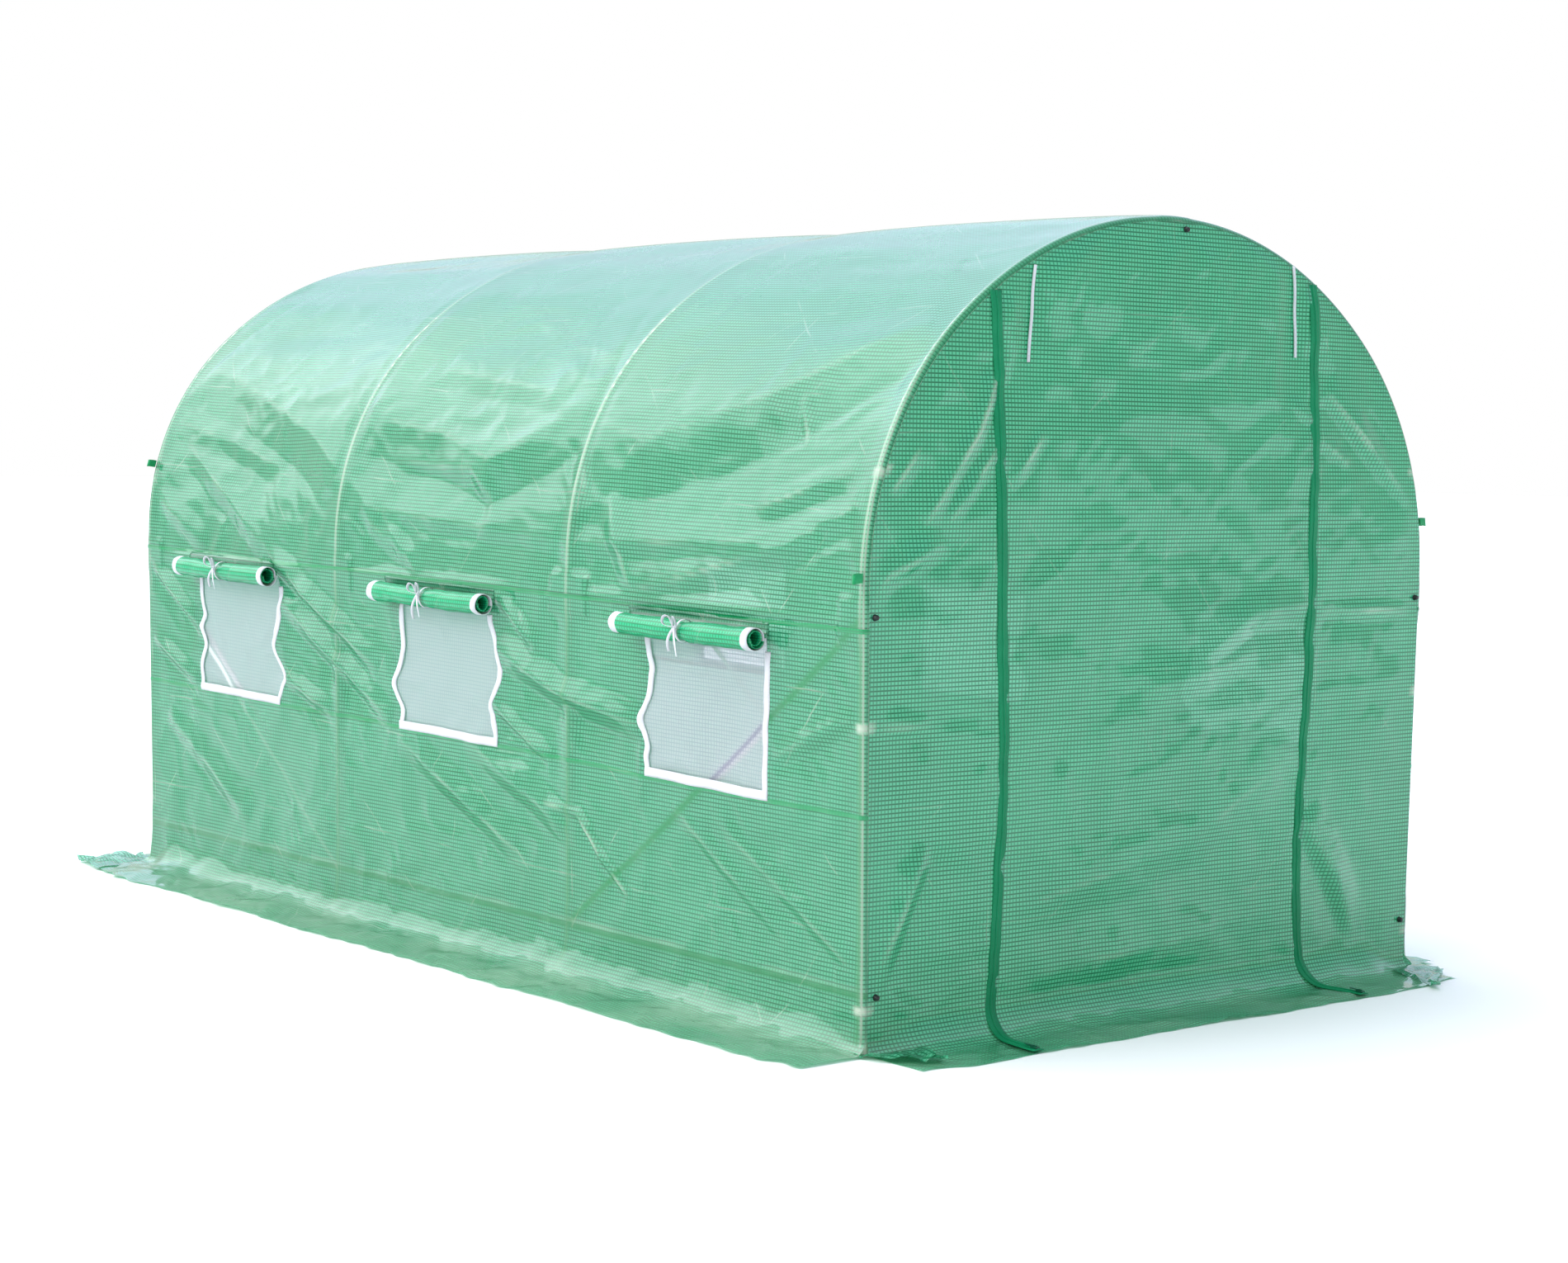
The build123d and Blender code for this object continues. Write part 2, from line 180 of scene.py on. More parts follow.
def foldShape(u, v, folds):
    # Ridges along folds of the film, each with its line, its height and its reach to both sides, in metres,
    # and how pale its crest is, as stress whitening with a painted highlight. Under the line the film falls in a flat
    # facet before it comes out again.
    lift, pale = np.zeros_like(u), np.zeros_like(u)
    for line, height, reachAbove, reachBelow, wearAndHighlight in folds:
        nearest = np.full_like(u, 9.0)
        above = np.zeros_like(u, bool)
        share = np.zeros_like(u)
        lengths = [np.hypot(b[0] - a[0], b[1] - a[1]) for a, b in zip(line, line[1:])]
        total, done = sum(lengths), 0.0
        for (a, b), length in zip(zip(line, line[1:]), lengths):
            du, dv = (b[0] - a[0]) / length, (b[1] - a[1]) / length
            along = np.clip((u - a[0]) * du + (v - a[1]) * dv, 0, length)
            offU, offV = u - a[0] - along * du, v - a[1] - along * dv
            distance = np.hypot(offU, offV)
            closer = distance < nearest
            nearest = np.where(closer, distance, nearest)
            above = np.where(closer, offV > 0, above)
            share = np.where(closer, (done + along) / total, share)
            done += length
        taper = np.sqrt(np.clip(np.sin(pi * np.clip(share, 0, 1)), 0, 1))
        near = np.sqrt(nearest**2 + 0.002**2)
        rising = -0.7 * np.exp(-(near - reachBelow) / (1.8 * reachBelow))
        under = np.where(near < reachBelow, 1 - 1.7 * near / reachBelow, rising)
        over = np.exp(-near / reachAbove) if reachAbove > 0.1 else np.clip(1 - near / (1.35 * reachAbove), 0, None)
        lift += height * taper * np.where(above, over, under)
        broken = np.clip(0.55 + softNoise(u, v, 0.07, 401), 0, 1)
        # Pale crest: stress whitening with a painted highlight along it
        pale = np.maximum(pale, wearAndHighlight * taper * broken * falloff(nearest, 0.0055))
    return lift, pale


def crumple(u, v, seed):
    # Sharp-crested small wrinkles, in metres
    bentU = u + 0.05 * softNoise(u, v, 0.17, seed)
    bentV = v + 0.05 * softNoise(u, v, 0.17, seed + 1)
    large = 0.45 - np.abs(softNoise(bentU, bentV * 1.5, 0.15, seed + 2))
    small = 0.45 - np.abs(softNoise(bentU * 1.2 - bentV, bentV * 1.4, 0.07, seed + 3))
    return 0.011 * large + 0.005 * small


# Materials
def linear(hexColour):
    # An sRGB hex colour as the linear values that shaders take
    parts = [int(hexColour[i:i + 2], 16) / 255 for i in (1, 3, 5)]
    return [p / 12.92 if p <= 0.04045 else ((p + 0.055) / 1.055) ** 2.4 for p in parts] + [1.0]


def newMaterial(name):
    material = bpy.data.materials.new(name)
    material.use_nodes = True
    material.node_tree.nodes.clear()
    return material, material.node_tree


def addNode(tree, kind, settings, **sockets):
    # A node with its settings, and its sockets by number as s0, s1: a value, or another node's output
    node = tree.nodes.new(kind)
    for name, value in settings.items():
        setattr(node, name, value)
    for name, value in sockets.items():
        socket = node.inputs[int(name[1:])]
        if isinstance(value, bpy.types.NodeSocket):
            tree.links.new(value, socket)
        else:
            socket.default_value = value
    return node


def mathNode(tree, operation, *values, clamp=False):
    sockets = {f"s{n}": value for n, value in enumerate(values)}
    return addNode(tree, "ShaderNodeMath", {"operation": operation, "use_clamp": clamp}, **sockets).outputs[0]


def rangeNode(tree, value, source, target, kind="LINEAR"):
    # A value taken from one range to another, and held at its ends
    return addNode(tree, "ShaderNodeMapRange", {"interpolation_type": kind},
                   s0=value, s1=source[0], s2=source[1], s3=target[0], s4=target[1]).outputs[0]


def smoothNode(tree, value, source, target):
    return rangeNode(tree, value, source, target, "SMOOTHSTEP")


def mixNode(tree, share, first, second):
    # Each colour is a hex value or another node's output
    first, second = [linear(c) if isinstance(c, str) else c for c in (first, second)]
    return addNode(tree, "ShaderNodeMix", {"data_type": "RGBA"}, s0=share, s6=first, s7=second).outputs[2]


def noiseNode(tree, where, scale, detail, roughness=0.5):
    return addNode(tree, "ShaderNodeTexNoise", {}, s0=where, s2=scale, s3=detail, s4=roughness).outputs[0]


def tintNode(tree, name):
    # A tint that placeSheet keeps on the points of a sheet
    return addNode(tree, "ShaderNodeAttribute", {"attribute_name": name}).outputs[2]


def sheetMap(tree):
    return addNode(tree, "ShaderNodeUVMap", {"uv_map": "sheetUV"}).outputs[0]


def objectMap(tree):
    return addNode(tree, "ShaderNodeTexCoord", {}).outputs[3]


def gridNode(tree, uv, pitch, soft, depths):
    # Square mesh of threads: full along their middles, soft at their edges, nothing between them
    place = addNode(tree, "ShaderNodeSeparateXYZ", {}, s0=uv)
    lines = []
    for axis, depth in enumerate(depths):
        saw = mathNode(tree, "PINGPONG", place.outputs[axis], pitch / 2)
        lines.append(smoothNode(tree, saw, soft, (depth, 0.0)))
    return mathNode(tree, "MAXIMUM", *lines)


def bumpNode(tree, strength, distance, height):
    return addNode(tree, "ShaderNodeBump", {}, s0=strength, s1=distance, s3=height).outputs[0]


def blendNode(tree, share, first, second):
    return addNode(tree, "ShaderNodeMixShader", {}, s0=share, s1=first.outputs[0], s2=second.outputs[0])


def addPrincipled(tree, values, links):
    shader = tree.nodes.new("ShaderNodeBsdfPrincipled")
    for name, value in values.items():
        shader.inputs[name].default_value = value
    for name, source in links.items():
        tree.links.new(source, shader.inputs[name])
    return shader


def showShader(tree, shader):
    addNode(tree, "ShaderNodeOutputMaterial", {}, s0=shader.outputs[0])


filmFinish = {
    "wearAndHighlight": "#e9f3e0",         # stress whitening along creases, and painted highlights over the tubes and along fold crests
    "paintedTubeShade": "#0a9052",      # painted shade where a tube lies close behind
    "clear": "#c6f2dc",        # light that passes straight through
    "pitch": 0.0105,           # threads about 10.5 mm apart, as counted in the photograph
    "threadSoft": (0.0008, 0.0029),
    "threadDepths": (0.70, 1.0),      # threads along the tunnel show more
    # Packing folds and handling creases: the way across them on the sheet, and metres apart
    "creases": (((1, 0, 0), 0.58), ((0, 1, 0), 0.29), ((0.80, 0.60, 0), 0.37), ((0.62, -0.78, 0), 0.45)),
    "creaseSoft": (0.0004, 0.0036),
    "creaseBend": (0.035, 0.035, 0.0),
    "creaseGaps": (0.48, 0.68),
    "roughness": 0.26,
    "throughShare": 0.36,      # share of light that passes and scatters
    "coatRoughness": 0.09,
}


def creaseNode(tree, uv):
    # Packing folds: straight lines, a little bent and worn away in places
    f = filmFinish
    wobble = addNode(tree, "ShaderNodeTexNoise", {}, s0=uv, s2=3.0, s3=2.0, s4=0.6).outputs[1]
    bent = addNode(tree, "ShaderNodeVectorMath", {"operation": "MULTIPLY_ADD"}, s0=wobble, s1=f["creaseBend"], s2=uv)
    crease = 0.0
    for way, apart in f["creases"]:
        reach = addNode(tree, "ShaderNodeVectorMath", {"operation": "DOT_PRODUCT"}, s0=bent.outputs[0], s1=way)
        saw = mathNode(tree, "PINGPONG", reach.outputs[1], apart / 2)
        crease = mathNode(tree, "MAXIMUM", crease, smoothNode(tree, saw, f["creaseSoft"], (1.0, 0.0)))
    patches = noiseNode(tree, uv, 5.5, 3.0, 0.6)
    return mathNode(tree, "MULTIPLY", crease, smoothNode(tree, patches, f["creaseGaps"], (0.0, 1.0)))


def makeFilm(name, cell, thread, glow, clearCell, clearThread, creased, coat=1.0):
    # Laminated reinforced film: a fine dark grid in glossy see-through green, with pale packing folds
    f = filmFinish
    material, tree = newMaterial(name)
    uv = sheetMap(tree)
    grid = gridNode(tree, uv, f["pitch"], f["threadSoft"], f["threadDepths"])
    cloud = noiseNode(tree, uv, 2.6, 4.0, 0.55)
    crease = creaseNode(tree, uv)
    behind = tintNode(tree, "tubeShade")      # painted shade of tubes that press from inside
    # Pale tint: packing creases, and tubeTouch with its painted highlights, stress whitening and painted sheen
    paleness = mathNode(tree, "MULTIPLY_ADD", crease, creased, tintNode(tree, "tubeTouch"))
    tone = mathNode(tree, "ADD", grid, rangeNode(tree, cloud, (0.3, 0.7), (-0.06, 0.08)), clamp=True)
    paintedTubeShade = mixNode(tree, behind, mixNode(tree, tone, cell, thread), f["paintedTubeShade"])
    surface = mixNode(tree, paleness, paintedTubeShade, f["wearAndHighlight"])
    lit = mixNode(tree, behind, mixNode(tree, tone, glow, thread), f["paintedTubeShade"])
    bump = bumpNode(tree, 0.30, 0.0012, mathNode(tree, "MULTIPLY_ADD", crease, 2.0, grid))
    rough = rangeNode(tree, cloud, (0.25, 0.75), (f["roughness"] - 0.05, f["roughness"] + 0.10))
    coated = {"IOR": 1.52, "Coat Weight": coat, "Coat IOR": 1.55, "Coat Roughness": f["coatRoughness"]}
    gloss = addPrincipled(tree, coated, {"Base Color": surface, "Roughness": rough, "Normal": bump})
    through = addNode(tree, "ShaderNodeBsdfTranslucent", {}, s0=lit)
    film = blendNode(tree, f["throughShare"], gloss, through)
    clear = addNode(tree, "ShaderNodeBsdfTransparent", {}, s0=linear(f["clear"]))
    backed = rangeNode(tree, behind, (0.0, 0.8), (1.0, 0.0))
    openShare = mathNode(tree, "MULTIPLY", rangeNode(tree, tone, (0.0, 1.0), (clearCell, clearThread)), backed)
    showShader(tree, blendNode(tree, openShare, film, clear))
    return material


greenFilm = makeFilm("reinforced green film", "#65cba0", "#0c7249", "#51c792", 0.24, 0.05, 0.36)
endFilm = makeFilm("reinforced green film of the ends", "#62d6a8", "#08744b", "#50d29a", 0.13, 0.03, 0.16)
doubledFilm = makeFilm("doubled film at the seams", "#14b26e", "#0a985c", "#12a868", 0.02, 0.0, 0.14)
rolledFilm = makeFilm("rolled film of the blinds", "#22d696", "#089a62", "#22c98c", 0.0, 0.0, 0.2, 0.45)

netFinish = {
    "pitch": 0.0100,           # the real mesh is finer, drawn coarser to show
    "yarnSoft": (0.0006, 0.0028),
    "veil": "#fbf6ff",
    "yarn": "#bfc0cc",
    "litTube": "#ffffff",      # a brace close behind in the light
    "dullTube": "#9b97ac",     # a brace close behind in the shade
    "throughShare": 0.4,
    "holes": (0.48, 0.22),     # clear share of the mesh and of its yarn
}


def makeNetFinish():
    # Fine woven insect net: a pale blue-grey veil with its square mesh just showing
    n = netFinish
    material, tree = newMaterial("insect net")
    grid = gridNode(tree, sheetMap(tree), n["pitch"], n["yarnSoft"], (1.0, 1.0))
    touch, behind = tintNode(tree, "tubeTouch"), tintNode(tree, "tubeShade")
    colour = mixNode(tree, touch, mixNode(tree, grid, n["veil"], n["yarn"]), n["litTube"])
    colour = mixNode(tree, behind, colour, n["dullTube"])
    yarn = addPrincipled(tree, {"Roughness": 0.6, "IOR": 1.5}, {"Base Color": colour})
    veil = blendNode(tree, n["throughShare"], yarn, addNode(tree, "ShaderNodeBsdfTranslucent", {}, s0=colour))
    clear = mathNode(tree, "SUBTRACT", 1.0, mathNode(tree, "ADD", touch, behind, clamp=True), clamp=True)
    share = mathNode(tree, "MULTIPLY", rangeNode(tree, grid, (0.0, 1.0), n["holes"]), clear)
    showShader(tree, blendNode(tree, share, veil, addNode(tree, "ShaderNodeBsdfTransparent", {})))
    return material


insectNet = makeNetFinish()


def makeWoven(name, light, dark, pitch, roughness, sheen):
    # Woven tape: a small over-and-under weave that softens the light
    material, tree = newMaterial(name)
    where = objectMap(tree)
    weave = addNode(tree, "ShaderNodeTexVoronoi", {}, s0=where, s2=1 / pitch).outputs[0]
    colour = mixNode(tree, mathNode(tree, "MULTIPLY", weave, noiseNode(tree, where, 18.0, 3.0)), light, dark)
    showShader(tree, addPrincipled(tree, {"Roughness": roughness, "Sheen Weight": sheen, "IOR": 1.3},
                                   {"Base Color": colour, "Normal": bumpNode(tree, 0.4, 0.0006, weave)}))
    return material


whiteTape = makeWoven("white tape", "#d9dade", "#aeb2b8", 0.0022, 0.75, 0.1)
greenTape = makeWoven("green zip tape", "#0a8a5a", "#04603c", 0.0020, 0.5, 0.0)
greenWebbing = makeWoven("green webbing", "#169a5c", "#0c6f41", 0.0020, 0.6, 0.2)


def makePaintedSteel():
    # White powder coat on thin tube: soft gloss, a little orange peel and dust
    material, tree = newMaterial("white coated tube")
    where = objectMap(tree)
    dust = noiseNode(tree, where, 9.0, 5.0, 0.6)
    showShader(tree, addPrincipled(tree, {"IOR": 1.5}, {
        "Base Color": mixNode(tree, dust, "#f3f1e8", "#dcd8c8"),
        "Roughness": rangeNode(tree, dust, (0.2, 0.8), (0.28, 0.5)),
        "Normal": bumpNode(tree, 0.15, 0.0003, noiseNode(tree, where, 420.0, 2.0)),
    }))
    return material


def makeMoulded(name, light, dark, roughness):
    # Moulded plastic: fine grain and slight mottling
    material, tree = newMaterial(name)
    where = objectMap(tree)
    showShader(tree, addPrincipled(tree, {"Roughness": roughness, "IOR": 1.46}, {
        "Base Color": mixNode(tree, noiseNode(tree, where, 60.0, 3.0), light, dark),
        "Normal": bumpNode(tree, 0.2, 0.0002, noiseNode(tree, where, 900.0, 2.0)),
    }))
    return material


paintedSteel = makePaintedSteel()
socketPlastic = makeMoulded("pale socket", "#eceae0", "#d8d5c6", 0.42)
blackPlastic = makeMoulded("black cap plastic", "#1a2422", "#0d1413", 0.35)
greenPlastic = makeMoulded("green zip plastic", "#0d5a40", "#083c2b", 0.3)
print("materials made")


# Sheets start as a plain grid whose points are then moved to their place
def keepMesh(bm, mesh):
    # Writes the working mesh into a mesh, given or named, and lets it go
    mesh = bpy.data.meshes.new(mesh) if isinstance(mesh, str) else mesh
    bm.to_mesh(mesh)
    bm.free()
    return mesh


def newSheet(name, columns, rows):
    bm = bmesh.new()
    bmesh.ops.create_grid(bm, x_segments=len(columns) - 1, y_segments=len(rows) - 1, size=1)
    mesh = keepMesh(bm, name)
    flat = np.empty(len(mesh.vertices) * 3)
    mesh.vertices.foreach_get("co", flat)
    flat = flat.reshape(-1, 3)
    i = np.rint((flat[:, 0] + 1) / 2 * (len(columns) - 1)).astype(int)
    j = np.rint((flat[:, 1] + 1) / 2 * (len(rows) - 1)).astype(int)
    return mesh, np.asarray(columns)[i], np.asarray(rows)[j]


def placeSheet(mesh, points, uvs, outward, touch=None, shade=None):
    # Puts the points in place, keeps a map of the sheet in metres and turns its face outward
    mesh.vertices.foreach_set("co", np.stack(points, 1).ravel())
    corners = np.empty(len(mesh.loops), int)
    mesh.loops.foreach_get("vertex_index", corners)
    layer = mesh.uv_layers.new(name="sheetUV")
    layer.data.foreach_set("uv", np.stack(uvs, 1)[corners].ravel())
    # tubeTouch carries pale tints: painted highlights over tubes and fold crests, stress whitening, strap patches, and
    # dust with painted sheen; tubeShade carries painted shade of tubes behind
    for name, values in (("tubeTouch", touch), ("tubeShade", shade)):
        tint = mesh.attributes.new(name, "FLOAT", "POINT")
        tint.data.foreach_set("value", np.zeros(len(mesh.vertices)) if values is None else values)
    mesh.polygons.foreach_set("use_smooth", np.ones(len(mesh.polygons), bool))
    mesh.update()
    facing = sum((p.normal * p.area for p in mesh.polygons), Vector())
    if facing.dot(Vector(outward)) < 0:
        mesh.flip_normals()
    return mesh


def addPiece(name, mesh, materials, replaces=()):
    piece = bpy.data.objects.new(name, mesh)
    for material in materials:
        mesh.materials.append(material)
    bpy.context.collection.objects.link(piece)
    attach(piece, "root")
    if replaces:
        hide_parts(*replaces)
    return piece


def joinMeshes(name, meshes):
    # One mesh out of several, their maps and tints kept
    bm = bmesh.new()
    for mesh in meshes:
        bm.from_mesh(mesh)
    joined = keepMesh(bm, name)
    for mesh in meshes:
        bpy.data.meshes.remove(mesh)
    return joined


def closePoles(mesh):
    bm = bmesh.new()
    bm.from_mesh(mesh)
    bmesh.ops.remove_doubles(bm, verts=bm.verts, dist=0.00002)
    keepMesh(bm, mesh)


def thicken(mesh, depth):
    # Gives a strip its thickness
    bm = bmesh.new()
    bm.from_mesh(mesh)
    bmesh.ops.solidify(bm, geom=bm.faces[:], thickness=depth)
    keepMesh(bm, mesh)


# Side cover: how the film hangs between the hoops, by its run up from the ground and its place along the tunnel
sideHang = {
    "seamSlope": 0.015,       # metres up for each metre towards the rear
    "seeds": {"left": 3, "right": 11},
    "depths": ((0.0, 0.000), (0.14, 0.003), (0.35, 0.012), (0.575, 0.008), (0.80, 0.009), (1.0, 0.003),
               (1.15, 0.014), (1.45, 0.034), (1.80, 0.040), (2.20, 0.014), (2.60, 0.0)),
    "crown": 0.010,       # the film stands this far off the ridge between the hoops
    "ripple": 0.0035,
    "rippleCell": 0.22,
    "rough": ((0.0, 0.5), (0.6, 0.5), (1.0, 0.5), (1.1, 0.6), (1.5, 0.5), (1.75, 0.2), (2.3, 0.15)),
    "socketHalf": 0.055,       # half the height of a socket, with some room
    "socketReach": 0.085,
    "overSocket": -0.0005,     # the film goes no deeper than this over a socket,
    "overPurlin": -0.0045,     # over a purlin,
    "purlinHalf": 0.011,
    "overBrace": -0.026,       # and over a brace
    # Folds seen on the left: line as (along, run), height, reach above and below
    "roofFolds": (
        (((1.66, 1.645), (1.37, 1.575), (0.843, 1.423), (0.579, 1.28)), 0.026, 0.26, 0.130, 0.1),
        (((1.70, 1.445), (1.30, 1.380), (0.987, 1.300)), 0.013, 0.09, 0.060, 0.15),
        (((1.60, 1.375), (0.96, 1.043)), 0.015, 0.060, 0.060, 0.25),
        (((1.70, 1.195), (1.376, 1.039)), 0.010, 0.040, 0.045, 0.25),
        (((0.57, 1.470), (0.123, 1.424), (-0.142, 1.345), (-0.346, 1.425), (-0.57, 1.505)), 0.027, 0.26, 0.120, 0.1),
        (((0.30, 1.640), (-0.40, 1.545)), 0.009, 0.09, 0.060, 0.05),
        (((0.363, 1.339), (-0.068, 1.320), (-0.163, 1.246), (-0.189, 1.157)), 0.010, 0.035, 0.040, 0.2),
        (((0.541, 1.201), (-0.181, 1.157), (-0.478, 1.143)), 0.009, 0.050, 0.040, 0.15),
        (((0.47, 1.185), (0.231, 1.055)), 0.010, 0.035, 0.040, 0.2),
        (((0.36, 1.180), (0.151, 1.012)), 0.010, 0.035, 0.040, 0.2),
        (((-0.58, 1.462), (-0.82, 1.410), (-1.227, 1.534), (-1.66, 1.775)), 0.030, 0.26, 0.160, 0.12),
        (((-1.354, 1.547), (-1.413, 1.418)), 0.006, 0.020, 0.020, 0.6),
        (((-1.308, 1.247), (-1.645, 1.356)), 0.011, 0.035, 0.050, 0.25),
        (((-0.609, 1.134), (-1.323, 1.167), (-1.43, 1.154)), 0.010, 0.045, 0.040, 0.2),
        (((-0.849, 1.022), (-1.429, 1.154), (-1.71, 1.280)), 0.013, 0.050, 0.055, 0.25),
        (((-0.714, 1.260), (-0.849, 1.022)), 0.013, 0.050, 0.055, 0.25),
    ),
    "wallFolds": (
        (((0.97, 1.040), (0.351, 0.740)), 0.014, 0.042, 0.045, 0.2),
        (((0.90, 0.900), (0.282, 0.600)), 0.013, 0.038, 0.045, 0.2),
        (((0.875, 0.673), (0.600, 0.590)), 0.009, 0.030, 0.030, 0.2),
        (((-0.232, 0.990), (-0.440, 0.850)), 0.010, 0.030, 0.030, 0.15),
        (((-0.233, 0.839), (-0.560, 0.740), (-0.895, 0.686)), 0.015, 0.045, 0.050, 0.2),
        (((-0.213, 0.690), (-0.500, 0.560)), 0.008, 0.025, 0.025, 0.15),
        (((1.71, 0.975), (1.409, 0.790)), 0.010, 0.030, 0.030, 0.25),
        (((1.71, 0.740), (1.422, 0.620)), 0.008, 0.030, 0.030, 0.2),
        (((-1.416, 0.660), (-1.72, 0.780)), 0.007, 0.030, 0.030, 0.15),
        (((0.254, 0.552), (-0.393, 0.280)), 0.009, 0.050, 0.050, 0.2),
        (((-0.087, 0.581), (-0.623, 0.370)), 0.008, 0.050, 0.050, 0.15),
        (((-0.476, 0.449), (-0.636, 0.431), (-0.716, 0.345), (-0.844, 0.248)), 0.006, 0.018, 0.018, 0.75),
        (((-1.181, 0.493), (-1.725, 0.188)), 0.004, 0.030, 0.030, 0.10),
        (((-1.020, 0.500), (-1.480, 0.215)), 0.004, 0.025, 0.030, 0.15),
        (((1.62, 0.50), (1.10, 0.22)), 0.008, 0.050, 0.050, 0.15),
    ),
}


def varyFolds(folds, way, heightShare, wearAndHighlight):
    # The same folds, mirrored where the way is -1, deeper or shallower, and paler at their crests with more stress
    # whitening and painted highlight
    return [(tuple((way * a, b) for a, b in line), height * heightShare, above, below, pale + wearAndHighlight)
            for line, height, above, below, pale in folds]


sideFolds = {
    "left": varyFolds(sideHang["roofFolds"], 1, 1.0, 0.10) + varyFolds(sideHang["wallFolds"], 1, 1.65, 0.10),
    "right": varyFolds(sideHang["roofFolds"], -1, 0.8, 0.05) + varyFolds(sideHang["wallFolds"], -1, 1.2, 0.10),
}


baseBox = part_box("left_base_purlin")
baseRun = (baseBox[0][2] + baseBox[1][2]) / 2 / cos(tunnel["lean"])
purlinRuns = (baseRun, eaveRun, ridgeRun)


def seamShift(along):
    # The cover sits a little askew: its seams rise towards the rear
    return sideHang["seamSlope"] * along


def hoopDistance(along):
    return np.min(np.abs(along[:, None] - hoopYs[None, :]), axis=1)


def sideLift(side, run, along):
    share = np.clip((along - hoopYs[0]) / bayLength, 0, 2.9999) % 1
    span = np.where((along <= hoopYs[0]) | (along >= hoopYs[-1]), 0, np.sin(pi * share))
    hang = -levelAt(run, sideHang["depths"]) * span**0.7
    seed = sideHang["seeds"][side]
    ripple = softNoise(along, run, sideHang["rippleCell"], seed)
    ripple = ripple + 0.5 * softNoise(along * 1.3 + run, run * 1.6, 0.09, seed + 1)
    upper = ease(1.45, 1.75, run)
    ripple = ripple * (1 - upper) + 1.3 * upper * softNoise(along * 0.3, run * 1.2, 0.16, seed + 5)
    socket = np.clip(sum(falloff(run - level, sideHang["socketHalf"], 4) for level in purlinRuns), 0, 1)
    free = ease(0.0, 0.06 + 0.08 * socket, hoopDistance(along)) * np.where(span > 0, 1, 0)
    rough = levelAt(run, sideHang["rough"])
    folds, pale = foldShape(along, run, sideFolds[side])
    lift = hang + free * (folds + sideHang["ripple"] * ripple + rough * crumple(along, run, seed + 20))
    # On the walls the folds pass over the hoops
    passing = np.where(span > 0, 1, 0) * (1 - free) * ease(eaveRun, eaveRun - 0.08, run)
    lift = lift + passing * np.clip(folds, 0, None)
    # Towards the ridge the folds die out and the film stands off
    top = ridgeRun - 0.3
    crowned = lift * ease(ridgeRun, top, run) + sideHang["crown"] * span**0.6 * ease(top, ridgeRun - 0.1, run)
    lift = np.where(run > top, crowned, lift)
    # On the bare tubes the film lies closer than over the sockets
    onTube = (tunnel["tubeTouch"] - tunnel["filmOut"]) * (1 - socket)
    lift = lift + onTube * falloff(hoopDistance(along), 0.05)
    # It stays outside the purlins, and on the walls outside the braces
    for level in purlinRuns:
        beside = np.clip(np.abs(run - level) - sideHang["purlinHalf"], 0, None)
        lift = np.maximum(lift, sideHang["overPurlin"] - 1.1 * beside)
    bySocket = (socket > 0.5) & (hoopDistance(along) < sideHang["socketReach"])
    lift = np.where(bySocket, np.maximum(lift, sideHang["overSocket"]), lift)
    return np.where(run < eaveRun, np.maximum(lift, sideHang["overBrace"]), lift), pale * free


def onCover(side, run, along, lift, hug=1.0):
    # A place on the side cover, turned round the end hoops past their tubes where it hugs them
    x, z, outX, outZ = archAt(run)
    filmOut = tunnel["filmOut"]
    first, last = hoopYs[0], hoopYs[-1]
    past = np.clip(np.maximum(first - along, along - last), 0, None)
    angle = np.minimum(past / filmOut, pi / 2)
    radius = filmOut + lift
    away = hug * (radius * np.cos(angle) - filmOut) + (1 - hug) * lift
    wrapped = np.clip(along, first, last) + np.sign(along) * np.where(past > 0, radius * np.sin(angle), 0)
    y = hug * wrapped + (1 - hug) * along
    return sides[side] * (x + outX * away), y, z + outZ * away


# White straps round the front hoop that press through the film, by height or run, with their reach from the hoop
strap = {"half": 0.011, "levels": (1.345, 0.755, 0.105), "inner": 0.004, "outer": 0.024, "pale": 0.85}


def strapMarks(run, away):
    # Pale patches where the straps lie behind the film
    marks = np.zeros_like(run)
    for level in strap["levels"]:
        high = falloff(run - level, strap["half"], 4)
        wide = ease(-strap["outer"], -strap["inner"], away) * (1 - ease(0.016, 0.030, away))
        marks = np.maximum(marks, strap["pale"] * high * wide)
    return marks


def braceDistance(run, along, end):
    # Distance on the wall from the brace of the front (-1) or rear (1) end bay
    y0, y1 = (hoopYs[0], hoopYs[1]) if end < 0 else (hoopYs[3], hoopYs[2])
    long = np.hypot(y1 - y0, eaveRun - baseRun)
    across = ((along - y0) * (baseRun - eaveRun) - (run - eaveRun) * (y1 - y0)) / long
    inBay = (along - y0) / (y1 - y0)
    return np.where((inBay > 0) & (inBay < 1), np.abs(across), 9.0)


# How tubes behind the film show as painted highlights and painted shade: widths in metres, and how pale or dark
tubeMarks = {
    "hoopLine": 0.0060,
    "hoopPale": ((0.0, 0.06), (0.9, 0.12), (1.15, 0.75), (1.4, 0.85), (2.0, 0.55), (2.5, 0.2)),
    "rimPale": ((0.9, 0.8), (1.5, 0.7), (1.75, 0.0)),
    "baseAbove": 0.014,        # the painted highlight line lies this far above the base purlin's middle
    "baseLine": 0.005,
    "braceLine": 0.007,
    "bracePale": 0.16,
    "braceShade": 0.0100,
    "baseShade": 0.0085,
    "baseDark": 0.90,
    "hoopShade": 0.010,
    "hoopDark": 0.70,
    "rimDark": 0.5,
}


